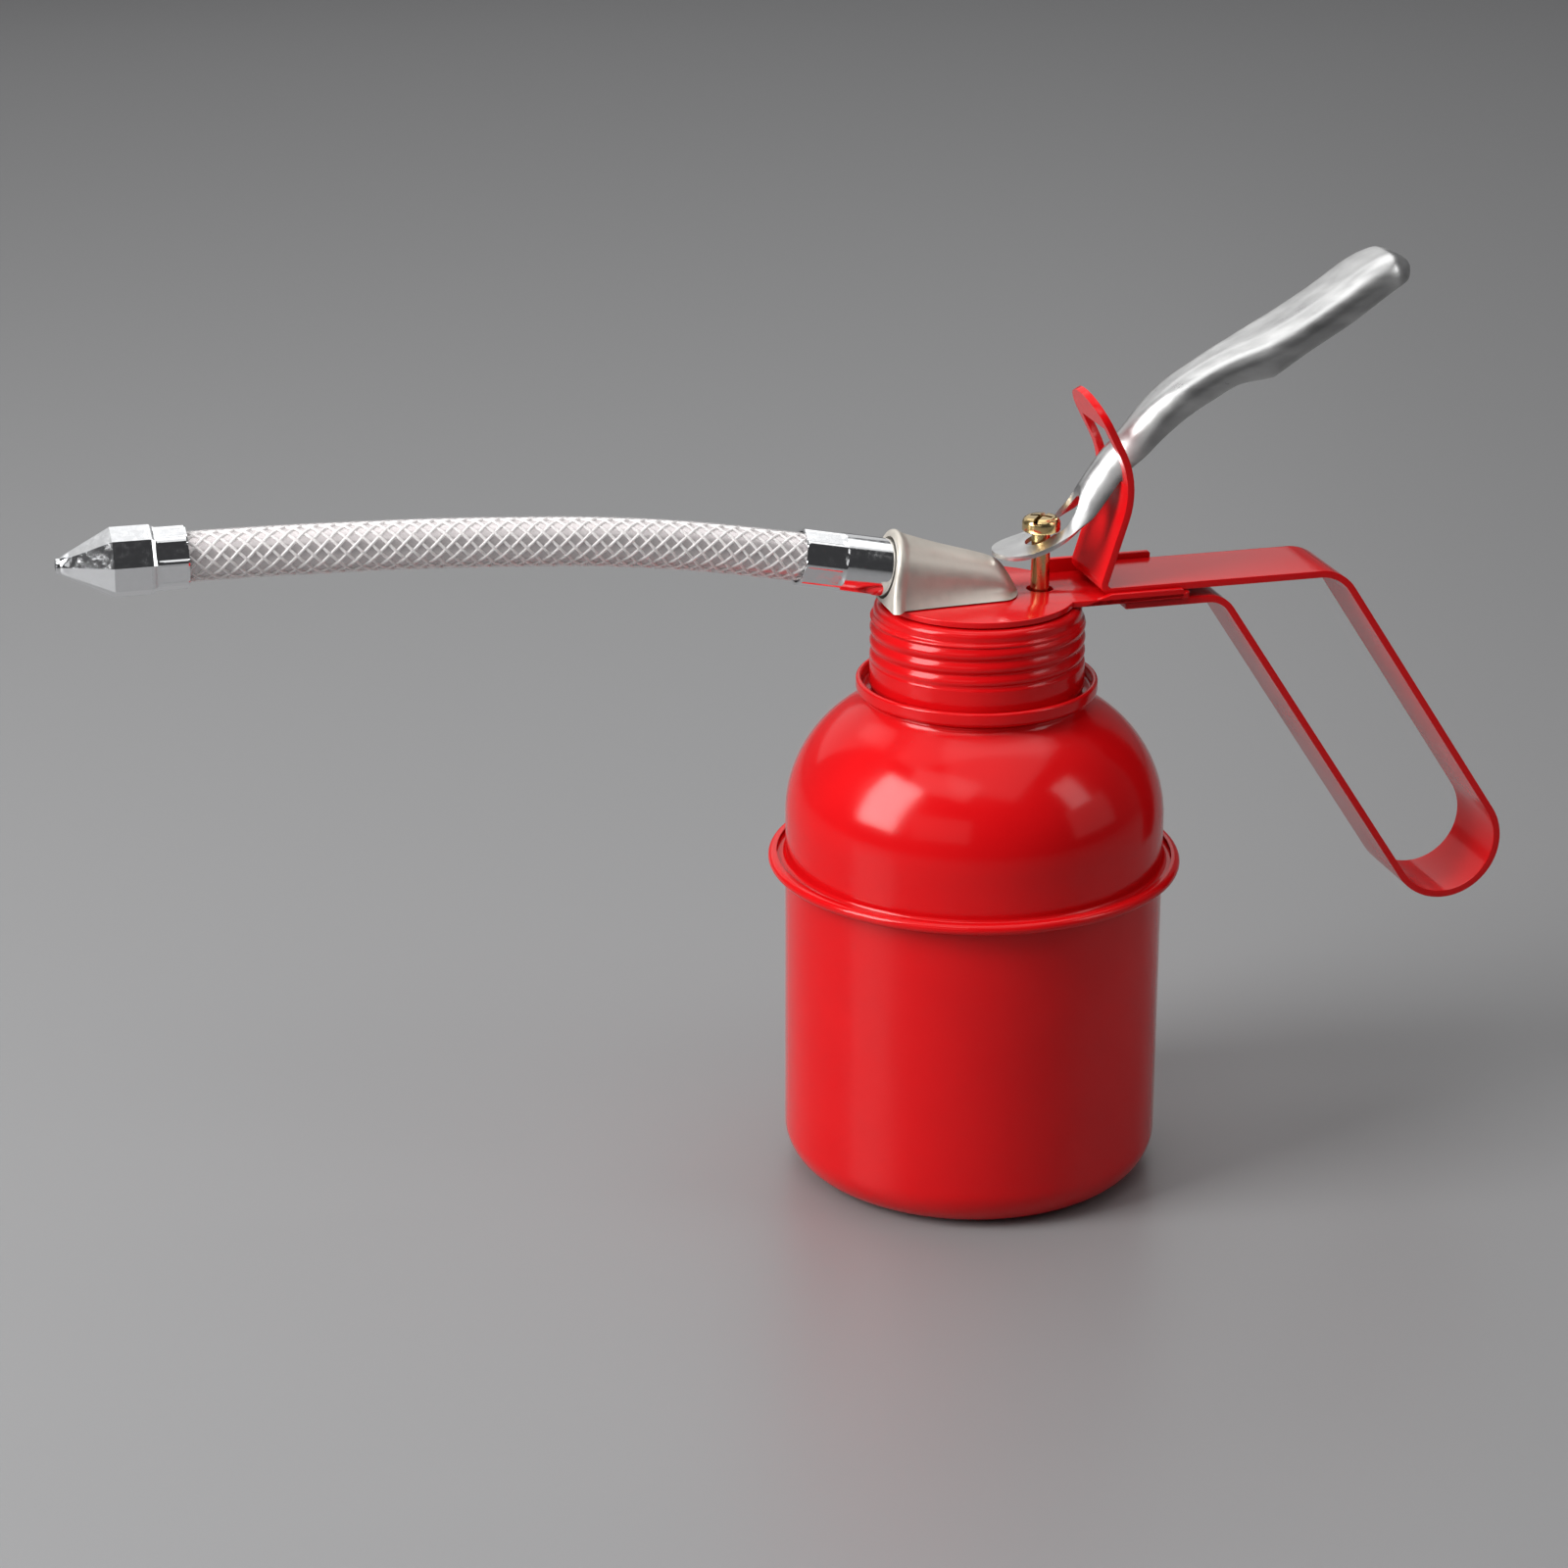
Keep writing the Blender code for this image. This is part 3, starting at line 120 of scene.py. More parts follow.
# Pump head, spout and rod
HEAD_Z = PLATE_TOP + GAP
SPOUT_TILT = math.radians(11.4)
SPOUT_X = -20.1
SPOUT_Z = HEAD_Z + 6.9
HEAD_NOSE_X = 8.2
RECESS_DEPTH = 3.0
HOSE_R = 5.1
HOSE_BORE_R = 2.75
HOSE_SKIN_R = 4.98
HOSE_CORE_R = 4.45
HOSE_ROUTE = ((-70.2, 9.05), (-100.5, 11.7), (-132.0, 13.1))
BRAID_R = 4.55
BRAID_LEAD = 29.5
BRAID_STRANDS = 9
BRAID_WEAVE = 0.1
YARN_R = 0.31
FERRULE_R = 6.0
FERRULE_LOW = -RECESS_DEPTH + GAP + 1.0 + GAP
FERRULE_HIGH = FERRULE_LOW + 19.2
# FERRULE_MORE is how much further than the solid it reaches, as the photograph shows
FERRULE_MORE = 1.1
FERRULE_WALL = 0.8
CRIMP_LENGTH = 8.6
CRIMP_ACROSS = 11.2
NOZZLE_X = -162.8
NOZZLE_Z = SPOUT_Z + 13.6
NOZZLE_BODY = 14.6
NOZZLE_CONE = 10.8
NOZZLE_CORNER_R = 7.0
NOZZLE_CRIMP_R = 6.4
NOZZLE_BORE_R = 0.8
NOZZLE_SOCKET = 12.8
NOZZLE_TWIST = math.radians(5.0)
ROD_X = 13.5
ROD_R = 1.95
SCREW_HEAD_R = 4.0
SCREW_HEAD_Z = HEAD_Z + 12.35
SCREW_HEAD_T = 3.1
SCREW_FOOT_Z = 91.0

# Lever, from its pivot
PIVOT_X = 29.9
PIVOT_Z = SLOT_LOW + GAP
LEVER_T = 1.0
LEVER_ROUND = 4.4
LEVER_EDGE = 0.25
LEVER_SLOT_ENDS = (PIVOT_X - 17.0, PIVOT_X - 12.0)
LEVER_SLOT_HALF_W = 2.8
KEYHOLE_HALF_X = 3.6
KEYHOLE_HALF_Y = 4.1


def link(name, mesh, place=Matrix.Identity(4)):
    piece = bpy.data.objects.new(name, mesh)
    piece.matrix_world = place
    bpy.context.scene.collection.objects.link(piece)
    return piece


def mesh_from(name, points, faces):
    mesh = bpy.data.meshes.new(name)
    mesh.from_pydata([Vector(p) * MM for p in points], [], faces)
    return mesh


def tidy(mesh, angle=40.0, weld=0.00001):
    """Welds a mesh, turns its faces outward and sharpens its edges above an angle."""
    shape = bmesh.new()
    shape.from_mesh(mesh)
    if weld:
        bmesh.ops.remove_doubles(shape, verts=shape.verts, dist=weld)
    bmesh.ops.recalc_face_normals(shape, faces=shape.faces)
    shape.to_mesh(mesh)
    shape.free()
    mesh.shade_smooth()
    mesh.set_sharp_from_angle(angle=math.radians(angle))
    return mesh


def arc(x, z, radius, start, end, steps):
    """Points of an arc in a profile, its angles in degrees."""
    turns = [math.radians(start + (end - start) * i / steps) for i in range(steps + 1)]
    return [(x + radius * math.cos(a), z + radius * math.sin(a)) for a in turns]


def lathe(name, profile, closed=True, steps=180, place=Matrix.Identity(4), shift=None, angle=40.0):
    """Turns a profile of (radius, z) round Z. shift changes a point's radius by where it is."""
    points = []
    for r, z in profile:
        for i in range(steps):
            a = 2 * math.pi * i / steps
            grown = shift(r, z, a) if shift else r
            points.append((grown * math.cos(a), grown * math.sin(a), z))
    faces = []
    count = len(profile)
    for i in range(count if closed else count - 1):
        k = (i + 1) % count
        for j in range(steps):
            n = (j + 1) % steps
            faces.append((i * steps + j, i * steps + n, k * steps + n, k * steps + j))
    mesh = mesh_from(name, points, faces)
    shape = bmesh.new()
    shape.from_mesh(mesh)
    bmesh.ops.remove_doubles(shape, verts=shape.verts, dist=0.000001)
    bmesh.ops.dissolve_degenerate(shape, edges=shape.edges, dist=0.0000001)
    shape.to_mesh(mesh)
    shape.free()
    return link(name, tidy(mesh, angle, 0), place)


def shell(profile, thickness):
    """The profile and its copy, moved inward by a sheet's thickness."""
    inner = []
    for i, here in enumerate(profile):
        before = Vector(profile[max(0, i - 1)])
        after = Vector(profile[min(len(profile) - 1, i + 1)])
        along = (after - before).normalized()
        inward = Vector((-along.y, along.x)) * -1
        moved = Vector(here) + inward * thickness
        inner.append((max(0.0, moved.x), moved.y))
    return profile + list(reversed(inner))


def noise(nodes, links, scale, detail=3.0, roughness=0.5, stretch=None):
    """A noise in object space, its grain stretched where stretch says."""
    coord = nodes.new("ShaderNodeTexCoord")
    field = nodes.new("ShaderNodeTexNoise")
    field.inputs["Scale"].default_value = scale
    field.inputs["Detail"].default_value = detail
    field.inputs["Roughness"].default_value = roughness
    if stretch:
        mapping = nodes.new("ShaderNodeMapping")
        mapping.inputs["Scale"].default_value = stretch
        links.new(coord.outputs["Object"], mapping.inputs["Vector"])
        links.new(mapping.outputs["Vector"], field.inputs["Vector"])
    else:
        links.new(coord.outputs["Object"], field.inputs["Vector"])
    return field.outputs["Fac"]


def ranged(nodes, links, source, low, high, out_low, out_high):
    """A value moved from one range into another."""
    step = nodes.new("ShaderNodeMapRange")
    step.inputs["From Min"].default_value = low
    step.inputs["From Max"].default_value = high
    step.inputs["To Min"].default_value = out_low
    step.inputs["To Max"].default_value = out_high
    links.new(source, step.inputs["Value"])
    return step.outputs["Result"]


def mixed(nodes, links, factor, first, second):
    """A colour between two, as the factor says."""
    mix = nodes.new("ShaderNodeMix")
    mix.data_type = "RGBA"
    links.new(factor, mix.inputs["Factor"])
    mix.inputs["A"].default_value = (*first, 1.0)
    mix.inputs["B"].default_value = (*second, 1.0)
    return mix.outputs["Result"]


def bumped(nodes, links, shader, source, strength, distance):
    bump = nodes.new("ShaderNodeBump")
    bump.inputs["Strength"].default_value = strength
    bump.inputs["Distance"].default_value = distance
    links.new(source, bump.inputs["Height"])
    links.new(bump.outputs["Normal"], shader.inputs["Normal"])


def base(name, colour, metallic, roughness):
    """A new material with its nodes, its links and its shader."""
    made = bpy.data.materials.new(name)
    made.use_nodes = True
    shader = made.node_tree.nodes["Principled BSDF"]
    shader.inputs["Base Color"].default_value = (*colour, 1.0)
    shader.inputs["Metallic"].default_value = metallic
    shader.inputs["Roughness"].default_value = roughness
    return made, made.node_tree.nodes, made.node_tree.links, shader


def enamel():
    made, nodes, links, shader = base("gloss_red_enamel", (0.64, 0.004, 0.006), 0.0, 0.16)
    cloud = noise(nodes, links, 60.0, 2.0)
    links.new(mixed(nodes, links, cloud, (0.60, 0.003, 0.005), (0.68, 0.005, 0.007)), shader.inputs["Base Color"])
    links.new(ranged(nodes, links, cloud, 0.3, 0.7, 0.12, 0.19), shader.inputs["Roughness"])
    shader.inputs["Specular IOR Level"].default_value = 0.28
    peel = noise(nodes, links, 900.0, 1.0)
    bumped(nodes, links, shader, peel, 0.04, 0.0002)
    return made


def steel():
    made, nodes, links, shader = base("rubbed_steel", (0.66, 0.66, 0.65), 1.0, 0.28)
    streak = noise(nodes, links, 220.0, 5.0, 0.6, (0.3, 1.0, 1.0))
    links.new(mixed(nodes, links, streak, (0.42, 0.42, 0.42), (0.84, 0.84, 0.83)), shader.inputs["Base Color"])
    links.new(ranged(nodes, links, streak, 0.3, 0.7, 0.26, 0.44), shader.inputs["Roughness"])
    bumped(nodes, links, shader, streak, 0.03, 0.0002)
    return made


def zinc():
    made, nodes, links, shader = base("satin_zinc", (0.60, 0.56, 0.52), 0.55, 0.48)
    grain = noise(nodes, links, 500.0, 4.0)
    links.new(mixed(nodes, links, grain, (0.55, 0.51, 0.45), (0.66, 0.615, 0.55)), shader.inputs["Base Color"])
    links.new(ranged(nodes, links, grain, 0.3, 0.7, 0.42, 0.55), shader.inputs["Roughness"])
    bumped(nodes, links, shader, grain, 0.1, 0.0003)
    return made


def chrome():
    made, nodes, links, shader = base("nickel_chrome", (0.80, 0.81, 0.82), 1.0, 0.1)
    speck = noise(nodes, links, 700.0, 5.0, 0.7)
    links.new(ranged(nodes, links, speck, 0.45, 0.75, 0.07, 0.22), shader.inputs["Roughness"])
    links.new(mixed(nodes, links, speck, (0.78, 0.79, 0.80), (0.88, 0.89, 0.90)), shader.inputs["Base Color"])
    wave = noise(nodes, links, 130.0, 2.0)
    bumped(nodes, links, shader, wave, 0.02, 0.0006)
    return made


def brass():
    made, nodes, links, shader = base("turned_brass", (0.66, 0.47, 0.20), 1.0, 0.2)
    wear = noise(nodes, links, 400.0, 4.0)
    links.new(mixed(nodes, links, wear, (0.55, 0.38, 0.15), (0.80, 0.62, 0.32)), shader.inputs["Base Color"])
    links.new(ranged(nodes, links, wear, 0.3, 0.7, 0.14, 0.3), shader.inputs["Roughness"])
    return made


def rubber():
    made, nodes, links, shader = base("oil_resistant_rubber", (0.03, 0.03, 0.03), 0.0, 0.65)
    grain = noise(nodes, links, 600.0, 3.0)
    links.new(ranged(nodes, links, grain, 0.3, 0.7, 0.55, 0.75), shader.inputs["Roughness"])
    return made


def fibre():
    made, nodes, links, shader = base("pressed_fibre", (0.28, 0.17, 0.09), 0.0, 0.85)
    grain = noise(nodes, links, 800.0, 5.0, 0.6, (1.0, 1.0, 0.3))
    links.new(mixed(nodes, links, grain, (0.20, 0.12, 0.06), (0.36, 0.23, 0.13)), shader.inputs["Base Color"])
    return made


def vinyl():
    made, nodes, links, shader = base("clear_vinyl_tube", (0.93, 0.88, 0.88), 0.0, 0.12)
    shader.inputs["Alpha"].default_value = 0.12
    haze = noise(nodes, links, 120.0, 3.0)
    links.new(ranged(nodes, links, haze, 0.3, 0.7, 0.08, 0.18), shader.inputs["Roughness"])
    return made


def vinyl_core():
    made, nodes, links, shader = base("vinyl_core", (0.6, 0.56, 0.56), 0.7, 0.2)
    haze = noise(nodes, links, 150.0, 3.0)
    links.new(mixed(nodes, links, haze, (0.55, 0.51, 0.51), (0.68, 0.64, 0.64)), shader.inputs["Base Color"])
    return made


def thread_yarn():
    made, nodes, links, shader = base("white_braid_yarn", (0.9, 0.89, 0.88), 0.0, 0.5)
    weave = noise(nodes, links, 900.0, 3.0)
    links.new(mixed(nodes, links, weave, (0.80, 0.78, 0.77), (0.95, 0.94, 0.93)), shader.inputs["Base Color"])
    return made


LOOKS = {
    "red_enamel": enamel(), "bright_steel": steel(), "cast_zinc": zinc(), "chrome_plate": chrome(),
    "brass": brass(), "black_rubber": rubber(), "fibre_board": fibre(), "clear_vinyl": vinyl(),
}
YARN = thread_yarn()
CORE = vinyl_core()
SLOTS = {row["node"]: row["material_slot"] for row in frame["record"]["subparts"]}
BODY = {node: body for body, nodes in frame["record"]["behaviour"]["bodies"].items() for node in nodes}

for node_name, node in frame["nodes"].items():
    node.data.materials.clear()
    node.data.materials.append(LOOKS[SLOTS[node_name]])


def dress(piece, node_name, look=None):
    """Gives a piece its material, its body and the node that it is drawn in place of."""
    piece.data.materials.clear()
    piece.data.materials.append(look or LOOKS[SLOTS[node_name]])
    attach(piece, BODY[node_name])
    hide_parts(node_name)
    return piece


def make_cup():
    belt_r = CAN_R + BELT_REACH
    hem_z = CUP_HEIGHT + HEM_R
    profile = [(belt_r - HEM_LENGTH, hem_z + HEM_R)]
    profile += arc(belt_r - HEM_R, hem_z, HEM_R, 90, -90, 20)
    profile += arc(CAN_R + WALL_FILLET, CUP_HEIGHT - WALL_FILLET, WALL_FILLET, 90, 180, 8)
    profile += [(CAN_R, CUP_HEIGHT - 2 - i * 6.0) for i in range(1, 9)]
    profile += arc(CAN_R - CUP_CORNER, CUP_CORNER, CUP_CORNER, 0, -90, 24)
    profile += [(CAN_R - CUP_CORNER - 6 * i, 0) for i in range(1, 5)] + [(0, 0)]
    dress(lathe("cup_shell", shell(profile, SHEET), closed=False, angle=60), "reservoir_cup")


def make_dome():
    crown_r = CAN_R - DOME_SPREAD
    edge = (crown_r + DOME_SPREAD * math.cos(DOME_END), DOME_SPRING_Z + DOME_RISE * math.sin(DOME_END))
    slope = (DOME_RISE * math.cos(DOME_END)) / (DOME_SPREAD * math.sin(DOME_END))
    root = (COLLAR_R, edge[1] + (edge[0] - COLLAR_R) * slope)
    profile = [(NECK_R - THREAD_DEPTH + GAP, COLLAR_TOP)]
    profile += arc(COLLAR_R - COLLAR_ROUND, COLLAR_TOP - COLLAR_ROUND, COLLAR_ROUND, 90, 0, 6)
    top = (COLLAR_R, COLLAR_TOP - COLLAR_ROUND)
    for i in range(1, 16):
        u = i / 16
        blend = [(1 - u) ** 2 * a + 2 * u * (1 - u) * b + u * u * c for a, b, c in zip(top, root, edge)]
        profile.append(tuple(blend))
    for i in range(41):
        a = DOME_END * (1 - i / 40)
        profile.append((crown_r + DOME_SPREAD * math.cos(a), DOME_SPRING_Z + DOME_RISE * math.sin(a)))
    profile += [(CAN_R, DOME_SPRING_Z - 2 - i * 1.6) for i in range(4)]
    profile += arc(CAN_R + WALL_FILLET, DOME_FLANGE_TOP + WALL_FILLET, WALL_FILLET, 180, 270, 8)
    profile.append((CAN_R + BELT_REACH * 0.95 - SHEET - GAP, DOME_FLANGE_TOP))
    dress(lathe("dome_shell", shell(profile, SHEET), angle=60), "reservoir_dome")


def thread_wave(z, a):
    """1 on the thread's crest and 0 in its groove; the crests are rounder than the grooves."""
    turn = (a - THREAD_START) / (2 * math.pi)
    return abs(math.cos(math.pi * ((z - NECK_Z) / THREAD_PITCH - turn))) ** 1.2


def fade(z, low, high, reach=1.0):
    """1 between two heights, falling to 0 at them."""
    return max(0.0, min(1.0, (z - low) / reach, (high - z) / reach))


def make_neck():
    floor = NECK_Z + SHEET
    low, high = floor + NECK_PLAIN, NECK_TOP - THREAD_END
    bore_r = NECK_R - SHEET
    ring_top = NECK_Z + RING_HEIGHT
    bead = RING_THICKNESS / 2
    spigot_r = NECK_R - THREAD_DEPTH
    rows = [low + (high - low) * i / 44 for i in range(45)]
    profile = [(NECK_R - NECK_LIP, NECK_TOP), (NECK_R - 0.4, NECK_TOP)]
    profile += [(NECK_R, z) for z in reversed(rows)]
    profile += [(NECK_R, floor + 0.5), (NECK_R + 0.3, floor + 0.1), (NECK_R + 0.8, floor)]
    profile += [(RING_R - RING_THICKNESS - 0.8, floor)]
    profile += arc(RING_R - RING_THICKNESS - 0.6, floor + 0.6, 0.6, -90, 0, 5)
    profile += arc(RING_R - bead, ring_top - bead, bead, 180, 0, 16)
    profile += arc(RING_R - RING_ROUND, NECK_Z + RING_ROUND, RING_ROUND, 0, -90, 8)
    spigot_z = NECK_Z - NECK_SPIGOT
    profile += [(spigot_r, NECK_Z), (spigot_r, spigot_z), (spigot_r - SHEET, spigot_z)]
    profile += [(spigot_r - SHEET, floor - 0.2), (bore_r, floor + 0.4)]
    profile += [(bore_r, z) for z in rows[:-1]]
    profile += [(bore_r, NECK_TOP - SHEET - 0.3), (NECK_R - NECK_LIP, NECK_TOP - SHEET)]

    def rolled(r, z, a):
        on_wall = bore_r - 0.1 < r < NECK_R + 0.01
        return r + THREAD_DEPTH * thread_wave(z, a) * fade(z, low, high) if on_wall and z > low else r

    dress(lathe("neck_shell", profile, shift=rolled, angle=50), "threaded_neck")


def make_cap():
    band_r = CAP_R - CAP_BAND_IN
    inside = CAP_R - SHEET
    bottom = CAP_TOP - CAP_SKIRT
    band_z = CAP_TOP - CAP_BAND_HEIGHT
    low, high = bottom + CAP_PLAIN, band_z - 0.4
    rows = [low + (high - low) * i / 110 for i in range(111)]
    profile = [(0, CAP_TOP)] + [(band_r * i / 8, CAP_TOP) for i in range(1, 8)]
    profile += arc(band_r - CAP_ROUND, CAP_TOP - CAP_ROUND, CAP_ROUND, 90, 0, 10)
    profile += [(band_r, band_z + 0.5), (band_r, band_z)]
    profile += [(CAP_R, z) for z in reversed(rows)]
    profile += [(CAP_R, bottom + 0.2), (CAP_R - 0.15, bottom), (inside + 0.1, bottom)]
    profile += [(inside, z) for z in rows]
    profile += [(band_r - SHEET, band_z)]
    profile += arc(band_r - CAP_ROUND, CAP_TOP - CAP_ROUND, CAP_ROUND - SHEET, 0, 90, 6)
    profile.append((0, CAP_TOP - SHEET))

    def rolled(r, z, a):
        if r < band_r or not low <= z <= high:
            return r
        lead = min(1.0, (high - z) / 0.7)
        groove = THREAD_DEPTH * 1.25 * (1 - thread_wave(z, a)) * fade(z, low + 4.0, high)
        return r - CAP_BAND_IN * (1 - lead) - groove

    cap = lathe("cap_shell", profile, closed=False, steps=240, shift=rolled, angle=50)
    dress(cap, "screw_cap")


def flat_plate(name, outlines, thickness, place, edge=0.22):
    """A plate from 2D outlines, the later ones holes, with rounded edges."""
    flat = bpy.data.curves.new(name, "CURVE")
    flat.dimensions = "2D"
    flat.fill_mode = "BOTH"
    flat.extrude = (thickness / 2 - edge) * MM
    flat.bevel_depth = edge * MM
    flat.bevel_resolution = 3
    flat.offset = -edge * MM
    for points in outlines:
        line = flat.splines.new("POLY")
        line.points.add(len(points) - 1)
        for point, (u, v) in zip(line.points, points):
            point.co = (u * MM, v * MM, 0, 1)
        line.use_cyclic_u = True
    shape = bpy.data.objects.new(name, flat)
    bpy.context.scene.collection.objects.link(shape)
    shape.matrix_world = place
    mesh = bpy.data.meshes.new_from_object(shape.evaluated_get(bpy.context.evaluated_depsgraph_get()))
    bpy.data.objects.remove(shape, do_unlink=True)
    mesh.transform(place)
    return mesh


def joined(name, meshes):
    """One piece from several meshes."""
    shape = bmesh.new()
    for mesh in meshes:
        shape.from_mesh(mesh)
    whole = bpy.data.meshes.new(name)
    shape.to_mesh(whole)
    shape.free()
    return link(name, tidy(whole, 40.0, 0.000002))


def side_view(y):
    """The place of a plate that stands in the plane of X and Z."""
    return Matrix.Translation((0, y * MM, 0)) @ Matrix.Rotation(math.pi / 2, 4, "X")


def make_top_plate():
    half = STRAP_W / 2 + GAP + PLATE_T
    meet = math.degrees(math.asin(half / PLATE_R))
    corner = TONGUE_REACH - TONGUE_CORNER
    points = arc(0, 0, PLATE_R, meet, 360 - meet, 120)
    points += arc(corner, -half + TONGUE_CORNER, TONGUE_CORNER, -90, 0, 8)
    points += arc(corner, half - TONGUE_CORNER, TONGUE_CORNER, 0, 90, 8)
    rod_hole = list(reversed(arc(ROD_X, 0, ROD_R + 0.8, 0, 350, 35)))
    middle = Matrix.Translation((0, 0, (PLATE_Z + PLATE_T / 2) * MM))
    meshes = [flat_plate("plate", [points, rod_hole], PLATE_T, middle)]
    # For each flange: its side, its height, where it starts, and its upper edge's last two points (X, drop)
    near = (-1, NEAR_FLANGE, 18.4, ((25.5, 0.0), (24.6, 0.25)))
    far = (1, FAR_FLANGE, 17.9, ((18.6, 0.0), (17.9, 0.5)))
    for side, height, start, rise in (near, far):
        top = PLATE_TOP + height
        wall = [(start, PLATE_Z), (corner - 0.5, PLATE_Z), (corner, PLATE_Z + 0.5), (corner, top - 0.4)]
        wall += [(corner - 0.4, top)] + [(x, top - drop) for x, drop in rise]
        meshes.append(flat_plate("flange", [wall], PLATE_T, side_view(side * (half - PLATE_T / 2))))
    dress(joined("plate_shell", meshes), "top_plate")


def filleted(corners, step=5.0):
    """A path through corners (x, z, radius), with each corner rounded by an arc."""
    path = [Vector(corners[0][:2])]
    for before, here, after in zip(corners, corners[1:], corners[2:]):
        corner = Vector(here[:2])
        to_last = (Vector(before[:2]) - corner).normalized()
        to_next = (Vector(after[:2]) - corner).normalized()
        half = to_last.angle(to_next) / 2
        reach = here[2] / math.tan(half)
        centre = corner + (to_last + to_next).normalized() * here[2] / math.sin(half)
        first = corner + to_last * reach - centre
        last = corner + to_next * reach - centre
        sweep = first.angle_signed(last)
        steps = max(3, round(abs(math.degrees(sweep)) / step))
        for i in range(steps + 1):
            path.append(centre + Matrix.Rotation(-sweep * i / steps, 2) @ first)
    path.append(Vector(corners[-1][:2]))
    return path


def strap_path():
    """Middle line of the strap, from the post's top round the handle to the tab under the tongue."""
    slope = Vector((math.cos(LEG_SLOPE), -math.sin(LEG_SLOPE)))
    across = Vector((-math.sin(LEG_SLOPE), -math.cos(LEG_SLOPE)))
    top = Vector((HANDLE_TOP_X, STRAP_Z))
    half = LEG_SPACING / 2
    end = top + slope * ((HANDLE_DROP - half * math.cos(LEG_SLOPE)) / math.sin(LEG_SLOPE))
    centre = end + across * half
    front = centre + across * half
    tab_x = front.x - (TAB_Z - front.y) / math.tan(LEG_SLOPE)
    post = [(x, STRAP_Z + rise, radius) for x, rise, radius in (POST_TOP, POST_BEND, POST_FOOT)]
    path = filleted(post + [(top.x, top.y, HANDLE_TOP_R), (end.x, end.y, 0)])
    start = math.degrees(math.atan2(end.y - centre.y, end.x - centre.x))
    path += [Vector(p) for p in arc(centre.x, centre.y, half, start, start - 180, 36)[1:]]
    path += filleted([(*path[-1], 0), (tab_x, TAB_Z, TAB_BEND_R), (TAB_END_X, TAB_Z, 0)])[1:]
    return path


def resampled(path, step):
    """The same path with more points, so that rows stay near one spacing."""
    dense = [path[0]]
    for a, b in zip(path, path[1:]):
        count = max(1, math.ceil((b - a).length / step))
        dense += [a.lerp(b, i / count) for i in range(1, count + 1)]
    return dense


def sheet_piece(name, rows, keep, thickness, offset, edge, angle=40.0):
    """A sheet through rows of points, with its thickness and rounded edges."""
    width = len(rows[0])
    faces = []
    for i in range(len(rows) - 1):
        for j in range(width - 1):
            if keep(i, j):
                a = i * width + j
                faces.append((a, a + width, a + width + 1, a + 1))
    mesh = mesh_from(name, [p for row in rows for p in row], faces)
    shape = bmesh.new()
    shape.from_mesh(mesh)
    loose = [v for v in shape.verts if not v.link_faces]
    bmesh.ops.delete(shape, geom=loose, context="VERTS")
    shape.to_mesh(mesh)
    shape.free()
    piece = link(name, mesh)
    wall = piece.modifiers.new("Wall", "SOLIDIFY")
    wall.thickness = thickness * MM
    wall.offset = offset
    wall.use_even_offset = True
    if edge:
        rim = piece.modifiers.new("Rim", "BEVEL")
        rim.width = edge * MM
        rim.segments = 3
        rim.limit_method = "ANGLE"
        rim.angle_limit = math.radians(50)
    solid = bpy.data.meshes.new_from_object(piece.evaluated_get(bpy.context.evaluated_depsgraph_get()))
    piece.modifiers.clear()
    piece.data = solid
    solid.shade_smooth()
    solid.set_sharp_from_angle(angle=math.radians(angle))
    return piece


def make_strap():
    half = STRAP_W / 2
    path = resampled(strap_path(), 1.6)
    cut = [path[0]]
    for a, b in zip(path, path[1:]):
        for z in (SLOT_LOW, SLOT_HIGH):
            if cut[-1].x < 40 and (a.y - z) * (b.y - z) < 0 and a.y > STRAP_Z + 5:
                cut.append(a.lerp(b, (z - a.y) / (b.y - a.y)))
        cut.append(b)
    away = (path[1] - path[0]).normalized()
    rows, middles = [], []
    shares = [0.0, 0.2, 0.4, 0.6, SLOT_HALF_W / half, 0.82, 0.94, 1.0]
    shares = [-s for s in reversed(shares[1:])] + shares

    def row(point, width):
        rows.append([(point.x, s * width, point.y) for s in shares])
        middles.append(point.y)

    for i in range(1, 14):
        turn = math.radians(90 * i / 14)
        row(path[0] + away * POST_ROUND * (1 - math.cos(turn)), half * math.sin(turn))
    for point in cut:
        if (point - path[0]).dot(away) >= POST_ROUND - 0.01 or point.x > 32 or point.y < SLOT_HIGH - 6:
            row(point, half)

    def keep(i, j):
        mid_z = (middles[i] + middles[i + 1]) / 2
        in_slot = SLOT_LOW < mid_z < SLOT_HIGH and rows[i][0][0] < 34
        return not (in_slot and abs(rows[i][j][1] + rows[i][j + 1][1]) / 2 < SLOT_HALF_W)

    dress(sheet_piece("strap_shell", rows, keep, STRAP_T, 0.0, STRAP_EDGE), "handle_strap")


def spout_place(reach):
    """A place on the spout's axis, its Z pointing out along the spout."""
    out = Vector((-math.cos(SPOUT_TILT), 0, math.sin(SPOUT_TILT)))
    origin = Vector((SPOUT_X, 0, SPOUT_Z)) + out * reach
    return Matrix.Translation(origin * MM) @ out.to_track_quat("Z", "Y").to_matrix().to_4x4()


def spout_point(reach):
    return spout_place(reach).translation / MM


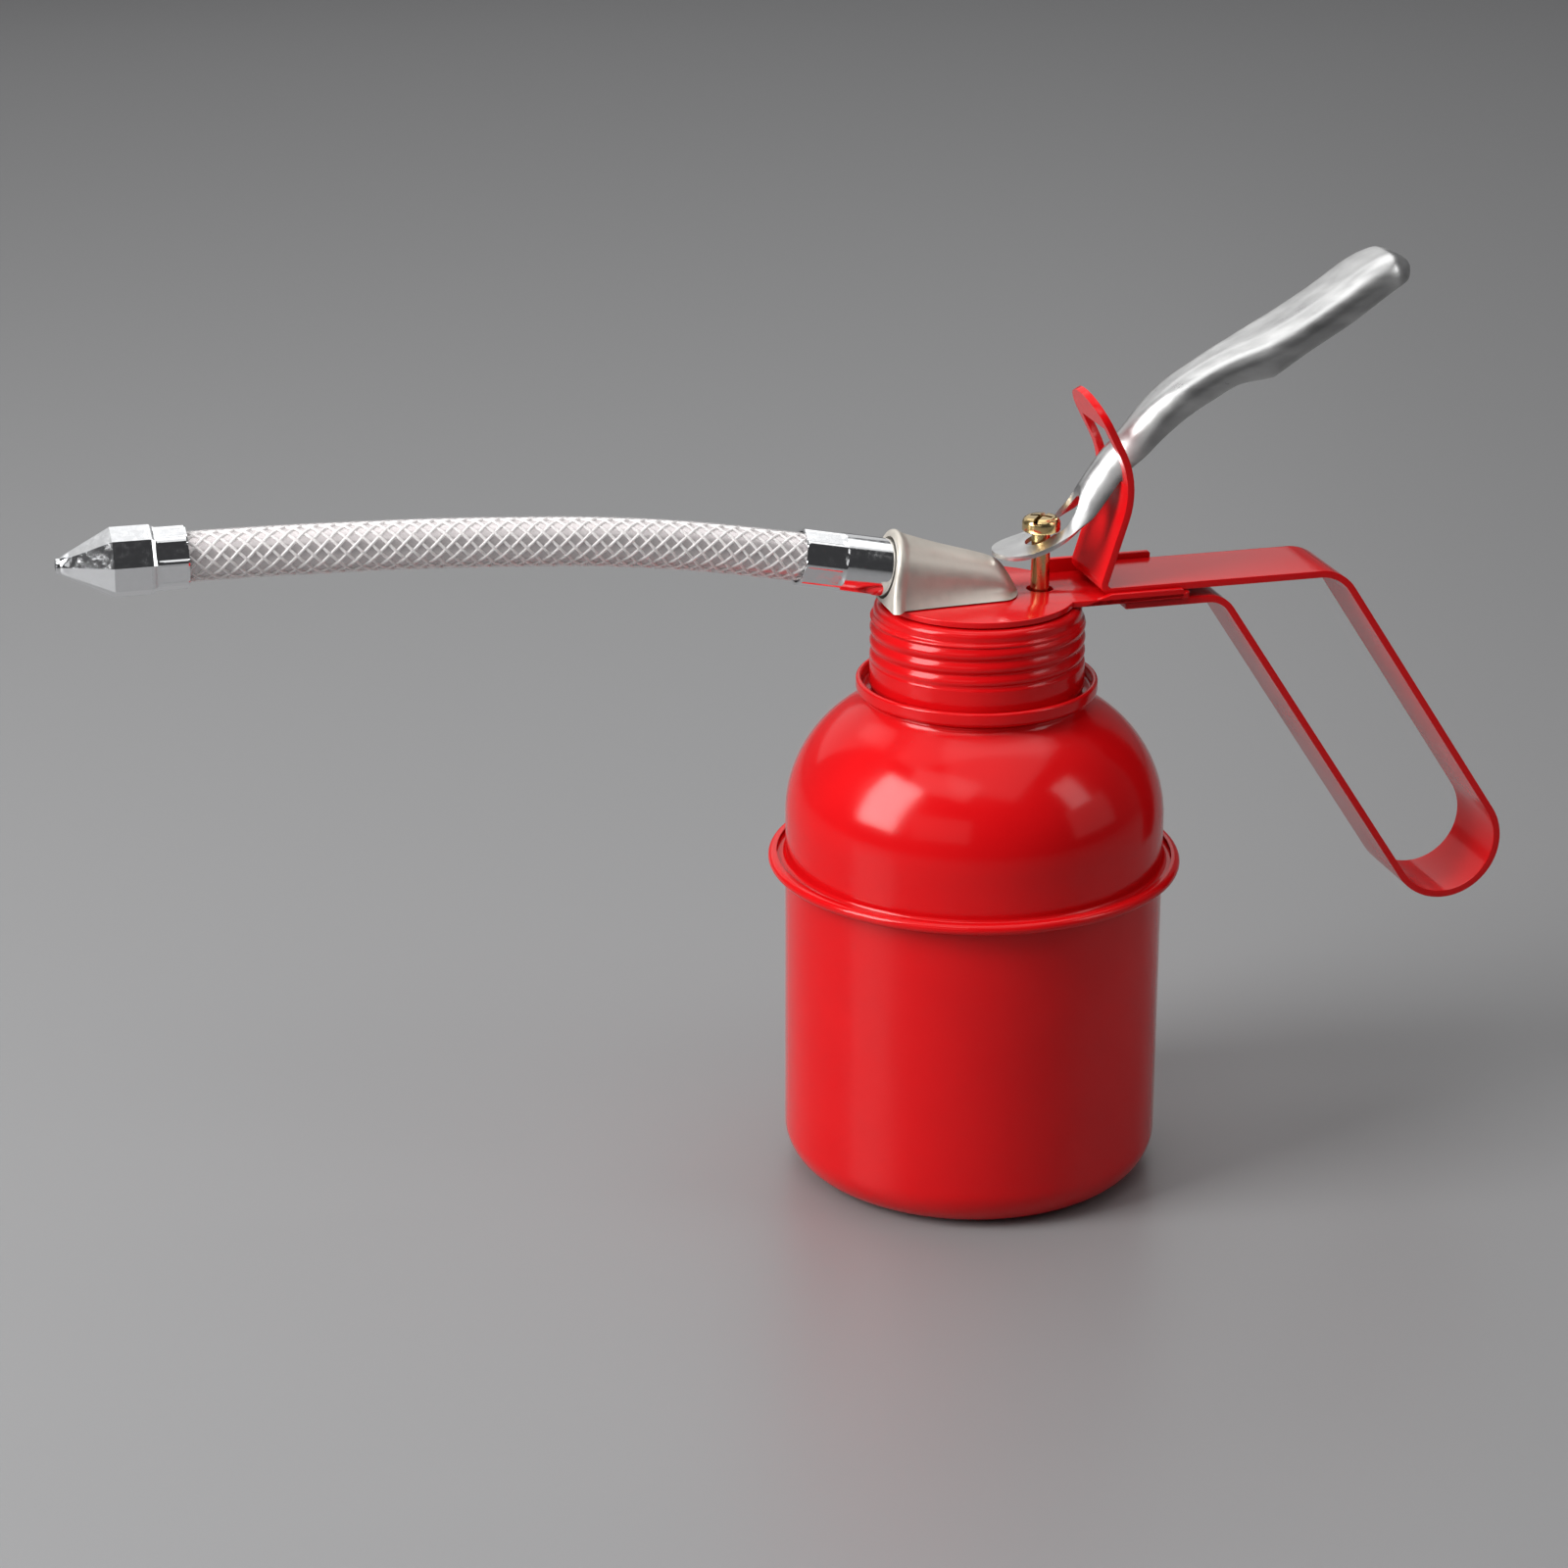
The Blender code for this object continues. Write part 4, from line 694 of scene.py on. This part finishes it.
def spline(knots, x):
    """A smooth line through knots (x, y), as one value."""
    if x <= knots[0][0]:
        return knots[0][1]
    if x >= knots[-1][0]:
        return knots[-1][1]
    for i in range(len(knots) - 1):
        (x0, y0), (x1, y1) = knots[i], knots[i + 1]
        if x0 <= x <= x1:
            before = knots[max(0, i - 1)]
            after = knots[min(len(knots) - 1, i + 2)]
            m0 = (y1 - before[1]) / (x1 - before[0]) * (x1 - x0)
            m1 = (after[1] - y0) / (after[0] - x0) * (x1 - x0)
            t = (x - x0) / (x1 - x0)
            return (y0 * (2 * t ** 3 - 3 * t * t + 1) + m0 * (t ** 3 - 2 * t * t + t)
                    + y1 * (3 * t * t - 2 * t ** 3) + m1 * (t ** 3 - t * t))


def cut_away(piece, cutter):
    """Takes the cutter's shape out of the piece, and the cutter out of the scene."""
    cut = piece.modifiers.new("Cut", "BOOLEAN")
    cut.operation = "DIFFERENCE"
    cut.solver = "EXACT"
    cut.object = cutter
    solid = bpy.data.meshes.new_from_object(piece.evaluated_get(bpy.context.evaluated_depsgraph_get()))
    piece.modifiers.clear()
    piece.data = solid
    bpy.data.objects.remove(cutter, do_unlink=True)


def drill_out(piece, radius, start, end):
    """Cuts a round hole between two points."""
    start, end = Vector(start), Vector(end)
    shape = bmesh.new()
    bmesh.ops.create_cone(
        shape, cap_ends=True, segments=72, radius1=radius * MM, radius2=radius * MM,
        depth=(end - start).length * MM)
    mesh = bpy.data.meshes.new("drill")
    shape.to_mesh(mesh)
    shape.free()
    turn = (end - start).to_track_quat("Z", "Y").to_matrix().to_4x4()
    drill = link("drill", mesh, Matrix.Translation((start + end) * 0.5 * MM) @ turn)
    cut_away(piece, drill)


def make_head():
    """The casting, as rings from its open face to its nose.

    crown is the height, foot the half width below and arch the radius above, each along the length.
    """
    length = HEAD_NOSE_X - SPOUT_X
    rim, blend = 1.1, 1.9
    crown = [(0.0, 14.6), (0.1, 13.75), (0.34, 11.6), (0.52, 10.1), (0.7, 8.55), (0.82, 7.25), (0.883, 5.8),
             (0.947, 3.0), (0.985, 1.1), (1.0, 0.35)]
    foot = [(0.0, 9.1), (0.43, 8.0), (0.77, 7.4), (0.87, 7.1), (0.93, 5.7), (0.96, 4.3), (0.985, 2.6), (1.0, 1.1)]
    arch = [(0.0, 7.7), (0.1, 7.35), (0.5, 6.0), (0.8, 5.0), (0.88, 4.4), (0.93, 3.5), (0.96, 2.7), (1.0, 0.8)]
    rings = []
    near = [0.0, 0.12, 0.3, 0.55, 0.85, 1.1, 1.4, 1.7, 2.0, 2.3, 2.6, 2.9, 3.2]
    for x in near + [3.2 + 0.8 * i for i in range(1, 24)] + [21.9 + 0.4 * i for i in range(1, 17)]:
        along = min(1.0, x / length)
        inset = rim - math.sqrt(rim * rim - (rim - x) ** 2) if x < rim else 0.0
        swell = 0.5 + 0.5 * math.cos(math.pi * max(0.0, min(1.0, (x - rim) / blend)))
        lean = max(0.0, 1.0 - along * 2.0)
        top = spline(crown, along) + 0.35 * swell - inset
        round_r = spline(arch, along) + 0.3 * swell - inset
        half_w = max(round_r + 0.15, spline(foot, along) + 1.9 * swell - inset)
        rise = min(round_r, 0.85 * top)
        side = [(round_r + (half_w - round_r) * (1 - u) ** 2, u * (top - rise)) for u in (0, 0.12, 0.3, 0.5, 0.75)]
        over = [math.pi / 2 * k / 14 for k in range(15)]
        half = side + [(round_r * math.cos(a), top - rise + rise * math.sin(a)) for a in over]
        whole = half + [(-y, z) for y, z in reversed(half[:-1])]
        tilt = lean * math.tan(SPOUT_TILT)
        rings.append([(SPOUT_X + along * length + tilt * (HEAD_Z + z - SPOUT_Z), y, HEAD_Z + z) for y, z in whole])
    count = len(rings[0])
    points = [p for ring in rings for p in ring]
    faces = [tuple(range(count)), tuple(reversed(range(len(points) - count, len(points))))]
    for i in range(len(rings) - 1):
        for j in range(count):
            a, b = i * count + j, i * count + (j + 1) % count
            faces.append((a, a + count, b + count, b))
    head = link("head_casting", tidy(mesh_from("head_casting", points, faces), 50, 0))
    drill_out(head, FERRULE_R + 0.5, spout_point(4), spout_point(-RECESS_DEPTH))
    tidy(head.data, 50, 0)
    dress(head, "pump_head")


def pressed(radius, a, flat_share, sides):
    """The radius of a round piece with pressed flats; flat_share 1 is a full polygon."""
    pitch = 2 * math.pi / sides
    off = (a % pitch) - pitch / 2
    polygon = radius * math.cos(pitch / 2) / math.cos(off)
    return radius + (polygon - radius) * flat_share


def make_ferrule():
    inner = HOSE_R + 0.15
    high, low = FERRULE_HIGH + FERRULE_MORE, FERRULE_LOW
    crimp = high - CRIMP_LENGTH
    profile = [(inner, high), (FERRULE_R - 0.3, high), (FERRULE_R - 0.08, high - 0.12), (FERRULE_R, high - 0.4)]
    profile += [(FERRULE_R, high - 0.6 - 0.4 * i) for i in range(20)]
    profile += [(FERRULE_R, crimp - 0.15 * i) for i in range(6)]
    profile += [(FERRULE_R, crimp - 1.5 - i) for i in range(9)]
    profile += [(FERRULE_R, low + 0.25), (FERRULE_R - 0.2, low), (2.8, low), (2.8, low + FERRULE_WALL)]
    profile += [(inner, low + FERRULE_WALL)]

    def crimped(r, z, a):
        if r < inner + 0.2 or z < crimp - 0.3:
            return r
        pitch = math.pi / 4
        off = ((a % pitch) - pitch / 2) / (pitch / 2)
        along = min(1.0, max(0.0, (z - crimp + 0.25) / 0.5))
        side = min(1.0, max(0.0, (1.0 - abs(off)) / 0.24))
        polygon = min(r, CRIMP_ACROSS / 2 / math.cos(off * pitch / 2))
        return r + (polygon - r) * min(along, side)

    ring = lathe("ferrule_shell", profile, steps=256, place=spout_place(0), shift=crimped, angle=25)
    dress(ring, "rear_ferrule")


def nozzle_place():
    out = Matrix.Rotation(-math.pi / 2, 4, "Y") @ Matrix.Rotation(NOZZLE_TWIST, 4, "Z")
    return Matrix.Translation((NOZZLE_X * MM, 0, NOZZLE_Z * MM)) @ out


def make_nozzle():
    tip = NOZZLE_BODY + NOZZLE_CONE
    inner = HOSE_R + 0.15
    neck = NOZZLE_BODY * 0.45
    bore = NOZZLE_BORE_R
    profile = [(bore, tip - 3), (bore, tip), (1.35, tip), (1.55, tip - 0.12), (1.6, tip - 0.3), (1.6, tip - 0.9)]
    profile += [(1.75, tip - 1.1)]
    profile += [(1.85 + 5.15 * i / 16, tip - 1.1 - (NOZZLE_CONE - 1.1) * i / 16) for i in range(1, 17)]
    profile += [(NOZZLE_CORNER_R, NOZZLE_BODY - 0.25 - i * 0.7) for i in range(11)]
    for i in range(9):
        step_in = 0.6 * (1 - math.cos(math.pi * i / 8)) / 2
        profile.append((NOZZLE_CORNER_R - step_in, neck + 0.8 - 0.2 * i))
    profile += [(NOZZLE_CRIMP_R, neck - 1.1 - i * 0.55) for i in range(9)]
    profile += [(NOZZLE_CRIMP_R, 0.3), (NOZZLE_CRIMP_R - 0.25, 0), (inner, 0), (inner, NOZZLE_SOCKET)]
    profile += [(HOSE_BORE_R, NOZZLE_SOCKET), (HOSE_BORE_R, 16.5), (bore, 18.0)]

    def octagonal(r, z, a):
        if r < inner + 0.2 and z < NOZZLE_BODY:
            return r
        if z < neck:
            pitch = math.pi / 4
            off = abs((a % pitch) - pitch / 2) / (pitch / 2)
            along = min(1.0, max(0.0, (neck - 0.2 - z) / 0.7))
            round_r = 6.35
            dent = 5.95 / math.cos(off * pitch / 2)
            side = min(1.0, max(0.0, (0.82 - off) / 0.14))
            body = pressed(r, a, 1.0 - along * 0.7, 8)
            return min(body, body + (min(dent, round_r) - body) * along * side)
        share = 1.0 if z < tip - 2.2 else max(0.0, (tip - 1.1 - z) / 1.1)
        return pressed(r, a, share, 8)

    nozzle = lathe("nozzle_shell", profile, steps=256, place=nozzle_place(), shift=octagonal, angle=16)
    dress(nozzle, "nozzle")


def bezier_route():
    """The hose's middle line, as closely spaced points."""
    start = FERRULE_LOW + FERRULE_WALL + GAP
    route = [spout_point(start), spout_point(start + 9), spout_point(FERRULE_HIGH)]
    route += [Vector((x, 0, SPOUT_Z + z)) for x, z in HOSE_ROUTE]
    end = NOZZLE_X - NOZZLE_SOCKET + GAP
    route += [Vector((x, 0, NOZZLE_Z)) for x in (NOZZLE_X + 1, NOZZLE_X - 6, end)]
    line = bpy.data.curves.new("route", "CURVE")
    line.dimensions = "3D"
    line.resolution_u = 24
    knots = line.splines.new("BEZIER")
    knots.bezier_points.add(len(route) - 1)
    for point, place in zip(knots.bezier_points, route):
        point.co = place
        point.handle_left_type = "AUTO"
        point.handle_right_type = "AUTO"
    path = bpy.data.objects.new("route", line)
    bpy.context.scene.collection.objects.link(path)
    mesh = path.evaluated_get(bpy.context.evaluated_depsgraph_get()).to_mesh()
    points = [v.co.copy() for v in mesh.vertices]
    bpy.data.objects.remove(path, do_unlink=True)
    return points


def make_hose():
    middle = bezier_route()
    lengths = [0.0]
    for a, b in zip(middle, middle[1:]):
        lengths.append(lengths[-1] + (b - a).length)
    total = lengths[-1]

    def at(s):
        s = min(max(s, 0.0), total)
        for i in range(len(lengths) - 1):
            if s <= lengths[i + 1]:
                t = (s - lengths[i]) / max(1e-6, lengths[i + 1] - lengths[i])
                point = middle[i].lerp(middle[i + 1], t)
                along = (middle[min(i + 2, len(middle) - 1)] - middle[max(i - 1, 0)]).normalized()
                return point, Vector((-along.z, 0, along.x)) * -1
        return middle[-1], Vector((0, 0, 1))

    count, sides = 150, 72
    stations = [at(total * i / count) for i in range(count + 1)]

    def tube(name, outer, inner, look):
        points, faces = [], []
        for radius, order in ((outer, stations), (inner, list(reversed(stations)))):
            for point, up in order:
                for k in range(sides):
                    a = 2 * math.pi * k / sides
                    side = Vector((0, 1, 0)) * math.cos(a) + up * math.sin(a)
                    points.append(tuple(point + side * radius))
        rows = 2 * (count + 1)
        for i in range(rows):
            n = (i + 1) % rows
            for k in range(sides):
                m = (k + 1) % sides
                faces.append((i * sides + k, i * sides + m, n * sides + m, n * sides + k))
        dress(link(name, tidy(mesh_from(name, points, faces), 60, 0)), "spout_hose", look)

    tube("hose_wall", HOSE_R, HOSE_SKIN_R, LOOKS["clear_vinyl"])
    tube("hose_core", HOSE_CORE_R, HOSE_BORE_R, CORE)

    braid = bpy.data.curves.new("hose_braid", "CURVE")
    braid.dimensions = "3D"
    braid.bevel_depth = YARN_R * MM
    braid.bevel_resolution = 1
    steps = 190
    for hand in (1, -1):
        for n in range(BRAID_STRANDS):
            line = braid.splines.new("POLY")
            line.points.add(steps)
            for i, knot in enumerate(line.points):
                s = 1.0 + (total - 2.0) * i / steps
                point, up = at(s)
                a = 2 * math.pi * (n / BRAID_STRANDS + hand * s / BRAID_LEAD)
                weave = BRAID_WEAVE * hand * math.cos(2 * math.pi * BRAID_STRANDS * s / BRAID_LEAD)
                side = Vector((0, 1, 0)) * math.cos(a) + up * math.sin(a)
                knot.co = (*((point + side * (BRAID_R + weave)) * MM), 1)
    yarn = bpy.data.objects.new("hose_braid", braid)
    bpy.context.scene.collection.objects.link(yarn)
    braid.materials.append(YARN)
    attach(yarn, "head")


def make_screw():
    top = SCREW_HEAD_Z + SCREW_HEAD_T
    profile = [(0, top), (1.2, top - 0.02), (2.2, top - 0.12)] + arc(2.5, top - 1.6, 1.5, 78, 0, 12)
    profile += [(SCREW_HEAD_R, SCREW_HEAD_Z + 0.25), (SCREW_HEAD_R - 0.15, SCREW_HEAD_Z)]
    profile += [(ROD_R + 0.15, SCREW_HEAD_Z), (ROD_R, SCREW_HEAD_Z - 0.2), (ROD_R, SCREW_FOOT_Z), (0, SCREW_FOOT_Z)]
    screw = lathe("screw_shell", profile, closed=False, steps=96, place=Matrix.Translation((ROD_X * MM, 0, 0)))
    # One slot across the whole head and a cross recess in its middle: turn, length, width and depth
    for angle, length, width, deep in ((51, 10.0, 1.0, 1.1), (141, 4.8, 1.0, 1.6), (51, 4.8, 1.0, 1.6)):
        shape = bmesh.new()
        bmesh.ops.create_cube(shape, size=1.0)
        mesh = bpy.data.meshes.new("slot")
        shape.to_mesh(mesh)
        shape.free()
        place = Matrix.Translation((ROD_X * MM, 0, (top + 1 - deep / 2 - 0.5) * MM))
        place = place @ Matrix.Rotation(math.radians(angle), 4, "Z")
        place = place @ Matrix.Diagonal((length * MM, width * MM, (deep + 1) * MM, 1))
        slot = link("slot", mesh, place)
        cut_away(screw, slot)
    tidy(screw.data, 35, 0)
    dress(screw, "rod_screw")


# Each station of the lever's outer face: crest X and Z, edge X and Z, half width
STATIONS = (
    ((-26.8, -14.9), (-26.8, -14.9), 6.8), ((-24.0, -14.65), (-24.0, -14.65), 6.8),
    ((-20.9, -14.05), (-20.9, -14.1), 6.8), ((-17.6, -13.1), (-17.6, -13.2), 6.8),
    ((-14.9, -11.6), (-14.9, -12.1), 6.75), ((-12.7, -9.5), (-12.3, -10.8), 6.6),
    ((-11.2, -7.0), (-9.9, -9.3), 6.4), ((-9.8, -4.9), (-7.6, -8.0), 6.0),
    ((-8.6, -2.6), (-5.8, -6.2), 5.7), ((-6.9, 0.1), (-4.0, -3.9), 5.5),
    ((-4.6, 3.3), (-2.1, -1.3), 5.5), ((-1.9, 6.4), (0.4, 1.8), 5.6),
    ((0.9, 9.4), (3.9, 4.6), 5.7), ((5.4, 14.4), (8.3, 8.8), 5.8),
    ((10.7, 18.8), (13.5, 12.8), 5.8), ((16.1, 22.1), (18.8, 15.9), 5.8),
    ((21.5, 25.0), (23.6, 18.7), 6.5), ((27.4, 27.6), (29.1, 19.95), 7.8),
    ((28.9, 28.25), (30.4, 20.25), 8.1), ((30.3, 28.95), (31.9, 21.2), 8.3),
    ((35.9, 31.9), (38.1, 25.3), 8.5), ((44.2, 36.9), (46.6, 30.3), 8.5),
    ((51.1, 41.5), (53.4, 35.0), 8.5), ((56.6, 43.7), (57.2, 37.2), 7.8),
    ((59.3, 43.1), (59.5, 38.0), 6.5), ((61.3, 41.9), (61.1, 38.6), 4.7),
    ((62.4, 40.6), (62.1, 39.2), 2.4), ((62.7, 39.9), (62.6, 39.7), 0.1),
)


def lever_section(half_w, depth, arched, share):
    """Across and down from the crest, at a share of the way from it to the edge.

    A channel with rounded corners, or (arched 1) an even arch.
    """
    corner = min(LEVER_ROUND, depth * 0.9, half_w * 0.95)
    flat, bend = half_w - corner, corner * math.pi / 2
    way = share * (flat + bend + depth - corner)
    if way <= flat:
        y, down = way, 0.0
    elif way <= flat + bend:
        turn = (way - flat) / max(corner, 0.0001)
        y, down = flat + corner * math.sin(turn), corner * (1 - math.cos(turn))
    else:
        y, down = half_w, corner + way - flat - bend
    end = math.radians(66)
    arch_y = half_w * math.sin(end * share) / math.sin(end)
    arch_down = depth * (1 - math.cos(end * share)) / (1 - math.cos(end))
    return y + (arch_y - y) * arched, down + (arch_down - down) * arched


def make_lever():
    """The lever's sheet through smooth sections between the stations, and the slot in its tongue."""
    rows = [(*crest, *edge, half_w) for crest, edge, half_w in STATIONS]
    reach = [0.0]
    for a, b in zip(rows, rows[1:]):
        reach.append(reach[-1] + math.hypot(b[0] + b[2] - a[0] - a[2], b[1] + b[3] - a[1] - a[3]) / 2)
    tip = rows[0][4]
    steps = [0.03, 0.12, 0.3, 0.6] + [0.9 + 0.5 * i for i in range(int((reach[-1] - 4.0 - 0.9) / 0.5))]
    steps += [reach[-1] - 4.0 + 0.25 * i for i in range(17)]
    shares = [k / 22 for k in range(23)]
    grid = []
    for u in steps:
        cx, cz, ex, ez, half_w = [spline([(t, row[k]) for t, row in zip(reach, rows)], u) for k in range(5)]
        if u < tip:
            half_w = min(half_w, tip * math.sqrt(1 - (1 - u / tip) ** 2))
        depth = math.hypot(ex - cx, ez - cz)
        arched = 0.12 + 0.88 * max(0.0, min(1.0, (9.0 - cx) / 10.0))
        half = []
        for share in shares:
            y, down = lever_section(half_w, depth, arched, share)
            t = down / depth if depth > 0.001 else 0.0
            half.append((PIVOT_X + cx + (ex - cx) * t, y, PIVOT_Z + cz + (ez - cz) * t))
        grid.append([(x, -y, z) for x, y, z in reversed(half[1:])] + half)
    lever = sheet_piece("lever_sheet", grid, lambda i, j: True, LEVER_T, -1.0, LEVER_EDGE, 50.0)
    left, right = LEVER_SLOT_ENDS
    meet = math.degrees(math.asin(LEVER_SLOT_HALF_W / KEYHOLE_HALF_Y))
    points = arc(left, 0, LEVER_SLOT_HALF_W, 90, 270, 24)
    for k in range(41):
        a = math.radians(180 + meet + (360 - 2 * meet) * k / 40)
        points.append((right + KEYHOLE_HALF_X * math.cos(a), KEYHOLE_HALF_Y * math.sin(a)))
    slot = link("slot", flat_plate("slot", [points], 24, Matrix.Translation((0, 0, (PIVOT_Z - 9.0) * MM)), 0.01))
    cut_away(lever, slot)
    lever.data.set_sharp_from_angle(angle=math.radians(50))
    dress(lever, "lever")


def area_light(name, place, target, across, power, high=None):
    lamp = bpy.data.lights.new(name, "AREA")
    lamp.shape = "RECTANGLE"
    lamp.size = across
    lamp.size_y = high or across
    lamp.energy = power
    holder = bpy.data.objects.new(name, lamp)
    holder.location = place
    holder.rotation_euler = (Vector(target) - Vector(place)).to_track_quat("-Z", "Y").to_euler()
    holder.visible_camera = False
    bpy.context.scene.collection.objects.link(holder)


def make_stage():
    shape = bmesh.new()
    bmesh.ops.create_grid(shape, x_segments=1, y_segments=1, size=4.0)
    mesh = bpy.data.meshes.new("studio_floor")
    shape.to_mesh(mesh)
    shape.free()
    floor = link("studio_floor", mesh)
    mesh.materials.append(base("studio_floor", (0.24, 0.24, 0.243), 0.0, 0.4)[0])

    world = bpy.data.worlds.new("studio")
    bpy.context.scene.world = world
    world.use_nodes = True
    nodes, links = world.node_tree.nodes, world.node_tree.links
    coord = nodes.new("ShaderNodeTexCoord")
    split = nodes.new("ShaderNodeSeparateXYZ")
    links.new(coord.outputs["Generated"], split.inputs["Vector"])
    back = ranged(nodes, links, split.outputs["Y"], -0.3, 0.7, 0.0, 1.0)
    sky = mixed(nodes, links, back, (0.045, 0.045, 0.047), (0.13, 0.13, 0.134))
    links.new(sky, nodes["Background"].inputs["Color"])

    area_light("key_left", (-1.07, -0.18, 0.73), (0, 0, 0.1), 0.6, 20.0, 0.9)
    area_light("front_soft", (-0.5, -0.42, 1.15), (0, 0, 0.1), 0.8, 1.6, 0.4)
    area_light("front_low", (-0.8, -1.0, 0.58), (0, 0, 0.1), 0.85, 0.8, 0.5)
    area_light("right_window", (0.754, -0.49, 0.73), (0, 0, 0.1), 0.3, 1.1, 0.4)
    area_light("right_low", (1.05, -0.62, 0.42), (0, 0, 0.15), 0.7, 0.5, 0.5)
    area_light("top_soft", (0.0, 1.1, 2.0), (0, 0.8, 0), 2.4, 15.5)
    area_light("over_soft", (0.2, -0.08, 1.45), (0, 0, 0.1), 2.1, 6.6, 1.1)
    area_light("back_soft", (-0.1, 1.4, 0.95), (0, 0, 0.1), 1.8, 3.8, 1.25)


def make_camera():
    """The photograph's camera, as solved from the outlines of the can."""
    data = bpy.data.cameras.new("camera")
    data.lens = 88.92
    data.sensor_width = 36.0
    data.clip_start = 0.01
    camera = bpy.data.objects.new("camera", data)
    camera.location = (-0.2404, -0.7311, 0.3683)
    camera.rotation_euler = (math.radians(90 - 20.184), 0, math.radians(-15.2))
    bpy.context.scene.collection.objects.link(camera)
    bpy.context.scene.camera = camera


make_cup()
make_dome()
make_neck()
make_cap()
make_top_plate()
make_strap()
make_head()
make_ferrule()
make_nozzle()
make_hose()
make_screw()
make_lever()
make_stage()
make_camera()
bpy.context.scene.view_settings.view_transform = "Standard"
